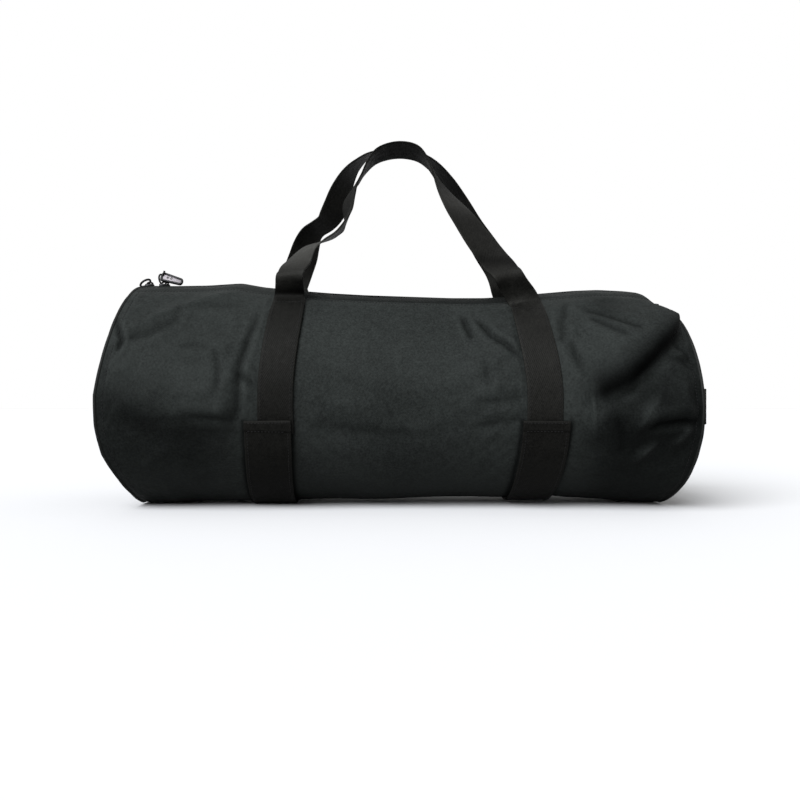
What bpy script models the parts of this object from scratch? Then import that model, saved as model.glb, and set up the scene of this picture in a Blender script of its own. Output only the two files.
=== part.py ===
"""Rope storage bag: a soft barrel duffel lying on its side, with two webbing carry handles,
a full-length two-slider zip along the crown and a grab handle across its right end.

Axes: +X along the bag towards the grab handle, +Y to the back, +Z up. The bag rests on z = 0.
Everything is laid out from the bag's own centre and parented to one empty, which puts the
middle of the whole object's box over the origin.
"""

import math

import bmesh
import bpy
from mathutils import Matrix, Vector

# ---- driving dimensions, in metres ------------------------------------------------------
FABRIC = 0.002            # coated canvas with its lining
GAP = 0.0004              # clearance kept between pieces that touch
HALF_LENGTH = 0.3165      # bag centre to the end seam, at mid-height
END_TUCK = 0.006          # the end seams pull in this much at the crown and the base
MID_HALF_WIDTH = 0.120    # half the barrel's width at its middle
END_HALF_WIDTH = 0.1305   # and at its ends
MID_BASE = 0.0045         # the base lifts off the floor at the middle
END_BASE = -0.004         # the ends would sink this far, so they flatten on the floor
CROWN = 0.257             # height of the crown, all along the zip

SEAM_Y = 0.052            # zip panel seams, either side of the zip: the mouth's fold lines
ZIP_EDGE_Y = 0.0145       # folded fabric edge beside the teeth
MOUTH_LEFT = -0.250       # the mouth opens between these two stations
MOUTH_RIGHT = 0.220
MOUTH_CLEAR = 0.0005      # between the moving lips and the fixed ends

ZIP_Z = CROWN - 0.005     # middle of the zip tape's thickness
TAPE_INNER_Y = 0.0038
TAPE_OUTER_Y = 0.0205
TAPE_THICK = 0.0008
TEETH_INNER_Y = 0.0009    # the closed chain keeps a fine slot, for the sliders' posts
TEETH_TALL = 0.003
ZIP_STOP_X = 0.3060       # outer face of the stop bar at each end
STOP_LONG = 0.0015
STOP_HALF_WIDE = 0.009

SLIDER_LONG = 0.011
SLIDER_HALF_WIDTH = 0.0048
SLIDER_PLATE = 0.0014
LEFT_SLIDER_X = -0.2985
RIGHT_SLIDER_X = -0.2820
BAIL_RISE = 0.0042        # height of the bail's axis above the slider's top plate
PULL_WIRE = 0.0008        # radius of the wire in bails and rings

WEB = 0.0018              # webbing thickness
WEB_CLEAR = 0.0009        # between sewn webbing and the barrel, whose facets are coarse
HANDLE_WEB = 0.038        # width of the carry handles' and grab handle's webbing
BASE_WEB = 0.050          # width of the two bands under the bag
LEFT_STRAP_X = -0.132
RIGHT_STRAP_X = 0.148
BASE_BAND_TOP = 0.100     # height of the base bands' hemmed ends
FOOT_Y = 0.0585           # the handles fold about this line, just outside the zip panel seams
FOOT_Z = 0.2475

GRAB_Z = 0.114            # middle of the grab handle across the right end
GRAB_BOW = 0.026          # how far it bows out from its two sewn ends
GRAB_HALF_SPAN = 0.100
PIPING_RADIUS = 0.0025
BINDING_WIDE = 0.010
BINDING_THICK = 0.0012
BINDING_START = math.radians(14)

# The box reaches from the left piping to the top of the grab handle's bow.
LEFT_REACH = -(HALF_LENGTH + GAP + 2 * PIPING_RADIUS)
RIGHT_REACH = HALF_LENGTH + 2 * GAP + 2 * PIPING_RADIUS + GRAB_BOW + WEB
CENTRE_SHIFT = -(LEFT_REACH + RIGHT_REACH) / 2

# ---- materials: colour, roughness, metallic ---------------------------------------------
FINISHES = {
    "canvas": ((0.030, 0.036, 0.034), 0.85, 0.0),
    "webbing": ((0.028, 0.026, 0.024), 0.80, 0.0),
    "piping": ((0.022, 0.024, 0.023), 0.70, 0.0),
    "binding": ((0.035, 0.035, 0.036), 0.85, 0.0),
    "zip_tape": ((0.040, 0.041, 0.042), 0.80, 0.0),
    "zip_teeth": ((0.030, 0.030, 0.031), 0.45, 0.0),
    "slider_metal": ((0.42, 0.42, 0.43), 0.30, 1.0),
}

# ---- scene set-up ---------------------------------------------------------------------
for old in list(bpy.data.objects):
    bpy.data.objects.remove(old)

bag_collection = bpy.data.collections.new("rope_storage_bag")
cutter_collection = bpy.data.collections.new("cutters")
bpy.context.scene.collection.children.link(bag_collection)
bpy.context.scene.collection.children.link(cutter_collection)


def make_material(name):
    colour, roughness, metallic = FINISHES[name]
    material = bpy.data.materials.new(name)
    material.use_nodes = True
    shader = material.node_tree.nodes["Principled BSDF"]
    shader.inputs["Base Color"].default_value = (*colour, 1.0)
    shader.inputs["Roughness"].default_value = roughness
    shader.inputs["Metallic"].default_value = metallic
    return material


MATERIALS = {name: make_material(name) for name in FINISHES}


def make_empty(name, place, parent=None):
    empty = bpy.data.objects.new(name, None)
    empty.location = place
    empty.parent = parent
    bag_collection.objects.link(empty)
    return empty


bag_centre = make_empty("bag_centre", (CENTRE_SHIFT, 0, 0))


def add_object(name, mesh, finish, pivot=None):
    """Links a mesh laid out in bag coordinates. pivot is the empty on its joint's axis."""
    obj = bpy.data.objects.new(name, mesh)
    obj.data.materials.append(MATERIALS[finish])
    bag_collection.objects.link(obj)
    obj.parent = pivot or bag_centre
    if pivot:
        obj.location = -pivot.location
        above = pivot.parent
        while above is not bag_centre:
            obj.location -= above.location
            above = above.parent
    return obj


def make_pivot(name, place, parent=None):
    """An empty on a joint's axis. place is in bag coordinates."""
    place = Vector(place)
    above = parent
    while above is not None and above is not bag_centre:
        place -= above.location
        above = above.parent
    return make_empty(name, place, parent or bag_centre)


def solidify(obj, thickness, offset):
    modifier = obj.modifiers.new("Thickness", "SOLIDIFY")
    modifier.thickness = thickness
    modifier.offset = offset
    modifier.use_even_offset = True
    return modifier


def grid_mesh(name, rows, closed=False, skip=None):
    """A sheet lofted through rows of points. closed joins the last point of a row to the first."""
    bm = bmesh.new()
    verts = [[bm.verts.new(p) for p in row] for row in rows]
    across = len(rows[0])
    for i in range(len(rows) - 1):
        for j in range(across if closed else across - 1):
            k = (j + 1) % across
            if skip and skip(i, j):
                continue
            bm.faces.new((verts[i][j], verts[i + 1][j], verts[i + 1][k], verts[i][k]))
    loose = [v for v in bm.verts if not v.link_faces]
    bmesh.ops.delete(bm, geom=loose, context="VERTS")
    mesh = bpy.data.meshes.new(name)
    bm.to_mesh(mesh)
    bm.free()
    return mesh


def box_mesh(name, low, high):
    bm = bmesh.new()
    bmesh.ops.create_cube(bm, size=1.0)
    middle = (Vector(low) + Vector(high)) / 2
    size = Vector(high) - Vector(low)
    for v in bm.verts:
        v.co = Vector(a * b for a, b in zip(v.co, size)) + middle
    mesh = bpy.data.meshes.new(name)
    bm.to_mesh(mesh)
    bm.free()
    return mesh


def boolean(obj, mesh, operation):
    """Joins or cuts obj with a helper solid that stays in the cutters collection."""
    helper = bpy.data.objects.new(f"{obj.name}_{operation.lower()}", mesh)
    cutter_collection.objects.link(helper)
    helper.parent = obj
    helper.hide_render = True
    helper.display_type = "WIRE"
    modifier = obj.modifiers.new(operation.title(), "BOOLEAN")
    modifier.operation = operation
    modifier.solver = "EXACT"
    modifier.object = helper


def wire_mesh(name, points, radius, cyclic=False, sides=2):
    """A round wire through points, as a closed mesh."""
    curve = bpy.data.curves.new(name, "CURVE")
    curve.dimensions = "3D"
    curve.bevel_depth = radius
    curve.bevel_resolution = sides
    curve.use_fill_caps = True
    spline = curve.splines.new("POLY")
    spline.points.add(len(points) - 1)
    spline.use_cyclic_u = cyclic
    for slot, point in zip(spline.points, points):
        slot.co = (*point, 1.0)
    maker = bpy.data.objects.new(name, curve)
    bag_collection.objects.link(maker)
    bpy.context.view_layer.update()
    evaluated = maker.evaluated_get(bpy.context.evaluated_depsgraph_get())
    mesh = bpy.data.meshes.new_from_object(evaluated)
    bpy.data.objects.remove(maker)
    bpy.data.curves.remove(curve)
    bm = bmesh.new()
    bm.from_mesh(mesh)
    bmesh.ops.remove_doubles(bm, verts=bm.verts, dist=0.00001)
    bmesh.ops.recalc_face_normals(bm, faces=bm.faces)
    bm.to_mesh(mesh)
    bm.free()
    mesh.materials.clear()
    return mesh


# ---- the barrel's outer surface -------------------------------------------------------
def smoothstep(t):
    t = min(max(t, 0.0), 1.0)
    return t * t * (3 - 2 * t)


def half_width(x):
    share = smoothstep((abs(x) - 0.06) / 0.17)
    return MID_HALF_WIDTH + (END_HALF_WIDTH - MID_HALF_WIDTH) * share


def base_height(x):
    share = smoothstep((abs(x) - 0.178) / 0.05)
    return MID_BASE + (END_BASE - MID_BASE) * share


def skin(x, turn, out=0.0):
    """A point on the barrel at station x, turned from the crown towards the front, out from it.
    The section is an ellipse whose crown is level, flattened where it meets the floor."""
    wide = half_width(x)
    tall = (CROWN - base_height(x)) / 2
    middle = CROWN - tall
    normal = Vector((-math.sin(turn) / wide, math.cos(turn) / tall)).normalized()
    y = -wide * math.sin(turn) + normal.x * out
    z = middle + tall * math.cos(turn) + normal.y * out
    return Vector((x, y, max(z, -out)))


def turn_at_y(x, y):
    """How far round from the crown the barrel has the given y, near the top."""
    return math.asin(-y / half_width(x))


def turn_at_z(x, z):
    tall = (CROWN - base_height(x)) / 2
    return math.acos((z - (CROWN - tall)) / tall)


def end_station(turn):
    """Where the end seam runs: it pulls in at the crown and the base."""
    return HALF_LENGTH - END_TUCK * math.cos(turn) ** 2


def spread(low, high, count):
    return [low + (high - low) * i / (count - 1) for i in range(count)]


BODY_STATIONS = spread(-1.0, 1.0, 25)
BODY_TURNS = 41
RING_TURNS = 40


def make_body_panel():
    """The main panel: one sheet from the front zip panel seam, under the bag, to the rear one."""
    rows = []
    for share in BODY_STATIONS:
        edge = turn_at_y(share * HALF_LENGTH, -SEAM_Y - GAP)
        row = []
        for turn in spread(edge, 2 * math.pi - edge, BODY_TURNS):
            row.append(skin(share * end_station(turn), turn))
        rows.append(row)
    obj = add_object("body_panel", grid_mesh("body_panel", rows), "canvas")
    solidify(obj, FABRIC, 1.0)
    return obj


def ring_turns():
    return [2 * math.pi * i / RING_TURNS for i in range(RING_TURNS)]


def make_end_panel(name, side):
    """A round panel, slightly domed, set just inside the barrel's end."""
    inset = FABRIC + 2 * GAP
    recess = 0.0012
    dome_x = HALF_LENGTH + 0.003
    centre = Vector((dome_x, 0, (CROWN + END_BASE) / 2))
    rows = []
    for share in (1.0, 0.9, 0.7, 0.45, 0.2):
        row = []
        for turn in ring_turns():
            rim = skin(end_station(turn), turn, -inset)
            rim.x = end_station(turn) - recess
            point = centre.lerp(rim, share)
            point.x = dome_x + (rim.x - dome_x) * share ** 2
            point.x *= side
            row.append(point)
        rows.append(row)
    mesh = grid_mesh(name, rows, closed=True)
    bm = bmesh.new()
    bm.from_mesh(mesh)
    rims = [e for e in bm.edges if e.is_boundary]
    inner = [e for e in rims if all(abs(v.co.y) < 0.04 for v in e.verts)
             and all(abs(v.co.z - centre.z) < 0.04 for v in e.verts)]
    bmesh.ops.contextual_create(bm, geom=inner)
    bmesh.ops.recalc_face_normals(bm, faces=bm.faces)
    flip = [f for f in bm.faces if f.normal.x * side < 0]
    bmesh.ops.reverse_faces(bm, faces=flip)
    bm.to_mesh(mesh)
    bm.free()
    obj = add_object(name, mesh, "canvas")
    solidify(obj, FABRIC, -1.0)
    return obj


def make_piping(name, side):
    """A corded edge round the end seam, clear of the floor."""
    points = []
    for turn in ring_turns():
        point = skin(end_station(turn), turn, -PIPING_RADIUS)
        point.x = side * (end_station(turn) + GAP + PIPING_RADIUS)
        point.z = max(point.z, PIPING_RADIUS + GAP)
        points.append(point)
    return add_object(name, wire_mesh(name, points, PIPING_RADIUS, True, 1), "piping")


def make_binding(name, side):
    """Binding tape round the raw edge of the end seam, inside the bag. It stops beside the zip."""
    rows = []
    for back in (0.006 + BINDING_WIDE, 0.006):
        row = []
        for turn in spread(BINDING_START, 2 * math.pi - BINDING_START, RING_TURNS):
            station = end_station(turn) - back
            point = skin(station, turn, -FABRIC - 3 * GAP)
            point.x = side * station
            row.append(point)
        rows.append(row)
    if side < 0:
        rows.reverse()
    obj = add_object(name, grid_mesh(name, rows), "binding")
    solidify(obj, BINDING_THICK, 1.0)
    return obj


def panel_row(x, ys):
    return [skin(x, turn_at_y(x, y)) for y in ys]


def make_crown_panel(name, side, mouth_end):
    """The zip panel's fixed end: a U that closes over the end of the zip."""
    inner = abs(mouth_end) + MOUTH_CLEAR
    outer = end_station(0.0)
    stations = [inner, (inner + 0.3075) / 2, 0.3075, outer - 0.0005]
    half = spread(ZIP_EDGE_Y, SEAM_Y, 5)
    ys = [-y for y in reversed(half)] + half
    rows = [panel_row(x, ys) for x in stations]
    for row in rows:
        for point in row:
            point.x *= side
    if side < 0:
        rows.reverse()
    middle = len(half) - 1
    bridge = 2 if side > 0 else 0
    mesh = grid_mesh(name, rows, skip=lambda i, j: j == middle and i != bridge)
    obj = add_object(name, mesh, "canvas")
    solidify(obj, FABRIC, -1.0)
    return obj


def make_zip_end(name, side, mouth_end):
    """The closed stretch of the zip: two tapes and two runs of teeth, joined by the stop bar."""
    near = side * (abs(mouth_end) + MOUTH_CLEAR)
    stop = side * ZIP_STOP_X
    span = sorted((near, stop))
    bar = sorted((stop, stop - side * STOP_LONG))
    overlap = 0.0003
    mesh = box_mesh(name, (bar[0], -STOP_HALF_WIDE, ZIP_Z - TEETH_TALL / 2),
                    (bar[1], STOP_HALF_WIDE, ZIP_Z + TEETH_TALL / 2))
    obj = add_object(name, mesh, "zip_tape")
    for hand in (-1, 1):
        tape_y = sorted((hand * TAPE_INNER_Y, hand * TAPE_OUTER_Y))
        teeth_y = sorted((hand * TEETH_INNER_Y, hand * (TAPE_INNER_Y + overlap)))
        boolean(obj, box_mesh(f"{name}_tape", (span[0], tape_y[0], ZIP_Z - TAPE_THICK / 2),
                              (span[1], tape_y[1], ZIP_Z + TAPE_THICK / 2)), "UNION")
        boolean(obj, box_mesh(f"{name}_teeth", (span[0], teeth_y[0], ZIP_Z - TEETH_TALL / 2),
                              (span[1], teeth_y[1], ZIP_Z + TEETH_TALL / 2)), "UNION")
    return obj


def make_lip(name, hand, pivot):
    """A moving zip panel, from its seam to the folded edge beside the teeth. hand -1 is front."""
    ys = spread(hand * SEAM_Y, hand * ZIP_EDGE_Y, 5)
    if hand > 0:
        ys.reverse()
    rows = [panel_row(x, ys) for x in spread(MOUTH_LEFT, MOUTH_RIGHT, 13)]
    obj = add_object(name, grid_mesh(name, rows), "canvas", pivot)
    solidify(obj, FABRIC, -1.0)
    return obj


def make_zip_half(hand, pivot):
    word = "front" if hand < 0 else "rear"
    teeth_outer = TAPE_INNER_Y - GAP
    tape_y = sorted((hand * TAPE_INNER_Y, hand * TAPE_OUTER_Y))
    teeth_y = sorted((hand * TEETH_INNER_Y, hand * teeth_outer))
    tape = box_mesh(f"{word}_zip_tape", (MOUTH_LEFT, tape_y[0], ZIP_Z - TAPE_THICK / 2),
                    (MOUTH_RIGHT, tape_y[1], ZIP_Z + TAPE_THICK / 2))
    teeth = box_mesh(f"{word}_zip_teeth", (MOUTH_LEFT, teeth_y[0], ZIP_Z - TEETH_TALL / 2),
                     (MOUTH_RIGHT, teeth_y[1], ZIP_Z + TEETH_TALL / 2))
    add_object(f"{word}_zip_tape", tape, "zip_tape", pivot)
    add_object(f"{word}_zip_teeth", teeth, "zip_teeth", pivot)


# ---- zip sliders and their pulls ------------------------------------------------------
def shield_mesh(name, x, low, high):
    """A slider plate's outline, broad at its shoulders, between two heights."""
    half = SLIDER_LONG / 2
    outline = [(-half, 0.55), (-0.6 * half, 0.92), (-0.1 * half, 1.0), (0.45 * half, 0.9),
               (half, 0.62)]
    points = [(x + a, b * SLIDER_HALF_WIDTH) for a, b in outline]
    points += [(a, -b) for a, b in reversed(points)]
    bm = bmesh.new()
    bottom = bm.faces.new([bm.verts.new((a, b, low)) for a, b in points])
    made = bmesh.ops.extrude_face_region(bm, geom=[bottom])
    top = [v for v in made["geom"] if isinstance(v, bmesh.types.BMVert)]
    bmesh.ops.translate(bm, verts=top, vec=(0, 0, high - low))
    bmesh.ops.recalc_face_normals(bm, faces=bm.faces)
    mesh = bpy.data.meshes.new(name)
    bm.to_mesh(mesh)
    bm.free()
    return mesh


SLIDER_TOP = ZIP_Z + TEETH_TALL / 2 + GAP + SLIDER_PLATE
BAIL_Z = SLIDER_TOP + BAIL_RISE


def make_slider(side_word, x, pivot):
    """Two plates either side of the chain, a post between them, and the bail on top."""
    half_chain = TEETH_TALL / 2 + GAP
    bite = 0.0003
    name = f"{side_word}_slider_body"
    body = add_object(name, shield_mesh(name, x, ZIP_Z + half_chain, SLIDER_TOP),
                      "slider_metal", pivot)
    lower = shield_mesh(f"{name}_lower", x, ZIP_Z - half_chain - SLIDER_PLATE,
                        ZIP_Z - half_chain)
    post_half = TEETH_INNER_Y - GAP
    post = box_mesh(f"{name}_post", (x - 0.0045, -post_half, ZIP_Z - half_chain - bite),
                    (x - 0.0015, post_half, ZIP_Z + half_chain + bite))
    boolean(body, post, "UNION")
    boolean(body, lower, "UNION")
    foot = SLIDER_TOP + PULL_WIRE + GAP
    arch = []
    for i in range(9):
        angle = math.pi * i / 8
        reach = 0.0034 * math.cos(angle)
        rise = (BAIL_Z + PULL_WIRE - foot) * math.sin(angle) ** 0.6 if 0 < i < 8 else 0.0
        arch.append((x + reach, 0.0, foot + rise))
    add_object(f"{side_word}_slider_bail",
               wire_mesh(f"{side_word}_slider_bail", arch, PULL_WIRE), "slider_metal", pivot)


def ring_points(middle, along, across, half_long, half_wide, count=20):
    """A rounded ring, as a superellipse in the plane of two directions."""
    points = []
    for i in range(count):
        angle = 2 * math.pi * i / count
        a = math.copysign(abs(math.cos(angle)) ** 0.7, math.cos(angle)) * half_long
        b = math.copysign(abs(math.sin(angle)) ** 0.7, math.sin(angle)) * half_wide
        points.append(Vector(middle) + Vector(along) * a + Vector(across) * b)
    return points


def make_left_pull(pivot):
    """A wire ring lying over to the left, propped on the end of the zip panel."""
    lean = math.radians(24)
    along = (-math.cos(lean), 0, math.sin(lean))
    half_long = 0.0056
    hold = Vector((LEFT_SLIDER_X, 0, BAIL_Z - 0.0012))
    middle = hold + Vector(along) * (half_long - PULL_WIRE * 1.2)
    ring = ring_points(middle, along, (0, 1, 0), half_long, 0.0036)
    add_object("left_pull_ring", wire_mesh("left_pull_ring", ring, PULL_WIRE * 0.75, True, 1),
               "slider_metal", pivot)


LINK_LONG = 0.0115
LINK_TOP = Vector((RIGHT_SLIDER_X - 0.0015, 0, BAIL_Z - 0.0012 + LINK_LONG))


def make_right_link(pivot):
    """A wire ring standing in the bail of the right slider."""
    low = Vector((RIGHT_SLIDER_X, 0, BAIL_Z - 0.0012))
    along = (LINK_TOP - low).normalized()
    middle = low + along * (LINK_LONG / 2 - PULL_WIRE * 1.2)
    ring = ring_points(middle, along, (0, 1, 0), LINK_LONG / 2, 0.0036)
    add_object("right_pull_link", wire_mesh("right_pull_link", ring, PULL_WIRE * 0.75, True, 1),
               "slider_metal", pivot)


TAB_LONG = 0.022
TAB_WIDE = 0.008
TAB_THICK = 0.0012
TAB_LEAN = math.radians(25)


def make_right_tab(pivot):
    """A flat metal pull tab hanging from the link, with an eye and two small holes."""
    steps = 8
    radius = TAB_WIDE / 2
    outline = []
    for start, centre in ((0.5, 0.0), (-0.5, TAB_LONG - 2 * radius)):
        for i in range(steps + 1):
            angle = math.pi * (start + i / steps)
            outline.append((centre + radius * math.cos(angle), radius * math.sin(angle)))
    bm = bmesh.new()
    face = bm.faces.new([bm.verts.new((a, b, -TAB_THICK / 2)) for a, b in outline])
    made = bmesh.ops.extrude_face_region(bm, geom=[face])
    top = [v for v in made["geom"] if isinstance(v, bmesh.types.BMVert)]
    bmesh.ops.translate(bm, verts=top, vec=(0, 0, TAB_THICK))
    bmesh.ops.recalc_face_normals(bm, faces=bm.faces)
    mesh = bpy.data.meshes.new("right_pull_tab")
    place = Matrix.Translation(LINK_TOP) @ Matrix.Rotation(TAB_LEAN, 4, "Y")
    bm.transform(place)
    bm.to_mesh(mesh)
    bm.free()
    tab = add_object("right_pull_tab", mesh, "slider_metal", pivot)
    for centre, wide in ((0.0, 0.0022), (0.0065, 0.0010), (0.0115, 0.0010)):
        bm = bmesh.new()
        bmesh.ops.create_cone(bm, cap_ends=True, segments=16, radius1=wide, radius2=wide,
                              depth=TAB_THICK * 4)
        bm.transform(place @ Matrix.Translation((centre, 0, 0)))
        hole = bpy.data.meshes.new("right_pull_tab_hole")
        bm.to_mesh(hole)
        bm.free()
        boolean(tab, hole, "DIFFERENCE")


# ---- webbing --------------------------------------------------------------------------
def make_strap(name, x, turns, wide):
    """Webbing lying on the barrel between two turns."""
    out = WEB_CLEAR + WEB / 2
    rows = [[skin(x + half * wide / 2, turn, out) for half in (-1, 0, 1)] for turn in turns]
    obj = add_object(name, grid_mesh(name, rows), "webbing")
    solidify(obj, WEB, 0.0)
    return obj


def make_webbing_on_body():
    for side_word, x in (("left", LEFT_STRAP_X), ("right", RIGHT_STRAP_X)):
        top = math.asin((FOOT_Y - 0.001) / half_width(x))
        low = turn_at_z(x, BASE_BAND_TOP)
        clear = 0.012
        turns = spread(top + clear, low - clear, 12)
        make_strap(f"front_{side_word}_strap", x, turns, HANDLE_WEB)
        back = [2 * math.pi - t for t in turns]
        make_strap(f"rear_{side_word}_strap", x, back, HANDLE_WEB)
        make_strap(f"{side_word}_base_band", x, spread(low, 2 * math.pi - low, 25), BASE_WEB)


# Stations of the two carry handles from the left foot to the right one:
# x, z, and how far the webbing has rolled from facing out to lying across the grip.
FRONT_HANDLE = [
    (-0.1300, FOOT_Z, 0), (-0.1205, 0.2706, 34), (-0.1060, 0.2930, 58), (-0.0900, 0.3040, 76),
    (-0.0755, 0.3100, 82), (-0.0640, 0.3210, 80), (-0.0570, 0.3360, 76), (-0.0552, 0.3540, 77),
    (-0.0515, 0.3760, 82), (-0.0425, 0.3965, 88), (-0.0266, 0.4105, 90), (-0.0036, 0.4165, 90),
    (0.0190, 0.4130, 89), (0.0330, 0.4000, 84), (0.0430, 0.3825, 76), (0.0535, 0.3610, 64),
    (0.0640, 0.3430, 52), (0.0765, 0.3265, 42), (0.0904, 0.3052, 30), (0.1055, 0.2840, 20),
    (0.1185, 0.2660, 9), (0.1310, FOOT_Z, 0),
]
REAR_HANDLE = [
    (-0.1370, FOOT_Z, 0), (-0.1280, 0.2822, 14), (-0.1185, 0.3060, 30), (-0.1075, 0.3265, 42),
    (-0.0880, 0.3430, 45), (-0.0795, 0.3600, 42), (-0.0732, 0.3790, 50), (-0.0640, 0.3975, 62),
    (-0.0530, 0.4110, 76), (-0.0346, 0.4235, 88), (-0.0037, 0.4283, 90), (0.0165, 0.4240, 86),
    (0.0365, 0.4110, 76), (0.0550, 0.3895, 64), (0.0735, 0.3625, 50), (0.0910, 0.3360, 36),
    (0.1075, 0.3085, 22), (0.1225, 0.2820, 8), (0.1345, FOOT_Z, 0),
]
FRONT_TOP_Y = -0.0150
REAR_TOP_Y = 0.0250
HANDLE_STEPS = 3
FOOT_TWIST = 0.030      # the webbing is square to its seam at the foot and free above this


def smooth_through(points, steps):
    """Catmull-Rom points through a list of vectors."""
    ends = [points[0] * 2 - points[1], *points, points[-1] * 2 - points[-2]]
    made = []
    for a, b, c, d in zip(ends, ends[1:], ends[2:], ends[3:]):
        for i in range(steps):
            t = i / steps
            made.append(0.5 * (2 * b + (c - a) * t + (2 * a - 5 * b + 4 * c - d) * t * t
                               + (3 * b - a - 3 * c + d) * t ** 3))
    made.append(points[-1])
    return made


def make_handle(name, stations, hand, top_y, pivot):
    """A webbing loop that faces out at its feet and lies across the grip at its top."""
    top_z = max(z for _, z, _ in stations)
    lean = (top_y - hand * FOOT_Y) / (top_z - FOOT_Z)
    marks = [Vector((x, hand * FOOT_Y + (z - FOOT_Z) * lean, z, roll))
             for x, z, roll in stations]
    smooth = smooth_through(marks, HANDLE_STEPS)
    plane_normal = Vector((0, 1, -lean)).normalized()
    rows = []
    for i, mark in enumerate(smooth):
        before = smooth[max(i - 1, 0)].xyz
        after = smooth[min(i + 1, len(smooth) - 1)].xyz
        tangent = (after - before).normalized()
        inner = plane_normal.cross(tangent).normalized()
        flat = Vector((math.copysign(1.0, inner.x), 0, 0))
        inner = flat.lerp(inner, smoothstep((mark.z - FOOT_Z) / FOOT_TWIST)).normalized()
        roll = math.radians(mark.w)
        wide = inner * math.cos(roll) + plane_normal * hand * math.sin(roll)
        rows.append([mark.xyz + wide * half * HANDLE_WEB / 2 for half in (-1, 0, 1)])
    obj = add_object(name, grid_mesh(name, rows), "webbing", pivot)
    solidify(obj, WEB, 0.0)
    return obj


def make_grab_handle(pivot):
    """Webbing across the right end, sewn at both ends and bowed out for a hand."""
    base_x = HALF_LENGTH + 2 * GAP + 2 * PIPING_RADIUS + WEB / 2
    rows = []
    for i in range(25):
        share = -1 + 2 * i / 24
        y = share * GRAB_HALF_SPAN
        bow = GRAB_BOW * math.cos(share * math.pi / 2) ** 0.8 if abs(share) < 1 else 0.0
        rows.append([Vector((base_x + bow, y, GRAB_Z + half * HANDLE_WEB / 2))
                     for half in (-1, 0, 1)])
    obj = add_object("grab_handle", grid_mesh("grab_handle", rows), "webbing", pivot)
    solidify(obj, WEB, 0.0)
    return obj


# ---- assembly -------------------------------------------------------------------------
make_body_panel()
for side, word, mouth_end in ((-1, "left", MOUTH_LEFT), (1, "right", MOUTH_RIGHT)):
    make_end_panel(f"{word}_end_panel", side)
    make_piping(f"{word}_piping", side)
    make_binding(f"{word}_seam_binding", side)
    make_crown_panel(f"{word}_crown_panel", side, mouth_end)
    make_zip_end(f"{word}_zip_end", side, mouth_end)

HINGE_Z = skin(MOUTH_LEFT, turn_at_y(MOUTH_LEFT, SEAM_Y)).z
for hand, word in ((-1, "front"), (1, "rear")):
    mouth_pivot = make_pivot(f"{word}_mouth_pivot", (0, hand * SEAM_Y, HINGE_Z))
    make_lip(f"{word}_mouth_panel", hand, mouth_pivot)
    make_zip_half(hand, mouth_pivot)

left_slider_pivot = make_pivot("left_slider_pivot", (LEFT_SLIDER_X, 0, ZIP_Z))
right_slider_pivot = make_pivot("right_slider_pivot", (RIGHT_SLIDER_X, 0, ZIP_Z))
make_slider("left", LEFT_SLIDER_X, left_slider_pivot)
make_slider("right", RIGHT_SLIDER_X, right_slider_pivot)
left_pull_pivot = make_pivot("left_pull_pivot", (LEFT_SLIDER_X, 0, BAIL_Z - 0.0012),
                             left_slider_pivot)
right_link_pivot = make_pivot("right_link_pivot", (RIGHT_SLIDER_X, 0, BAIL_Z - 0.0012),
                              right_slider_pivot)
right_tab_pivot = make_pivot("right_tab_pivot", LINK_TOP, right_link_pivot)
make_left_pull(left_pull_pivot)
make_right_link(right_link_pivot)
make_right_tab(right_tab_pivot)

make_webbing_on_body()
front_pivot = make_pivot("front_handle_pivot", (0, -FOOT_Y, FOOT_Z))
rear_pivot = make_pivot("rear_handle_pivot", (0, FOOT_Y, FOOT_Z))
make_handle("front_handle", FRONT_HANDLE, -1, FRONT_TOP_Y, front_pivot)
make_handle("rear_handle", REAR_HANDLE, 1, REAR_TOP_Y, rear_pivot)
grab_pivot = make_pivot("grab_handle_pivot",
                        (HALF_LENGTH + 2 * GAP + 2 * PIPING_RADIUS + WEB / 2, 0, GRAB_Z))
make_grab_handle(grab_pivot)
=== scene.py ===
"""Looks of the rope storage bag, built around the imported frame. Metres, +Z up."""

import math

import bmesh
import bpy
import numpy as np
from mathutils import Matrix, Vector, noise


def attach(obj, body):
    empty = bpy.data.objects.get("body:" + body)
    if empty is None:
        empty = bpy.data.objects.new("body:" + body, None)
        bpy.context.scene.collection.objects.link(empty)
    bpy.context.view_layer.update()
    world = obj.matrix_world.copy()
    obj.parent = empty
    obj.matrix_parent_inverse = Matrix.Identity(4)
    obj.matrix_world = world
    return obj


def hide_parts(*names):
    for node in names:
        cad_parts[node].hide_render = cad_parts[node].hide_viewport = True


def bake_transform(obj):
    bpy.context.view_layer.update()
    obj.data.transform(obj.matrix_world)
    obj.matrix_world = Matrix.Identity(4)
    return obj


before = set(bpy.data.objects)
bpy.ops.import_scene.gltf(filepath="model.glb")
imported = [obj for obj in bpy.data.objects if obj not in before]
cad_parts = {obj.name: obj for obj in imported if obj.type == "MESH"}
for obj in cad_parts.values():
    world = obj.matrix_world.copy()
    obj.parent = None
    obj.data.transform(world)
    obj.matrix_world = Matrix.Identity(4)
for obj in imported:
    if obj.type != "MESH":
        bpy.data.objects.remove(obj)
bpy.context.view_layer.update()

# The shapes below are written about the barrel's own middle, which lies this far along X
# from the middle of the whole object.
BAG_X = -0.0141
BAG_MIDDLE = np.array([BAG_X, 0, 0])

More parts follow.
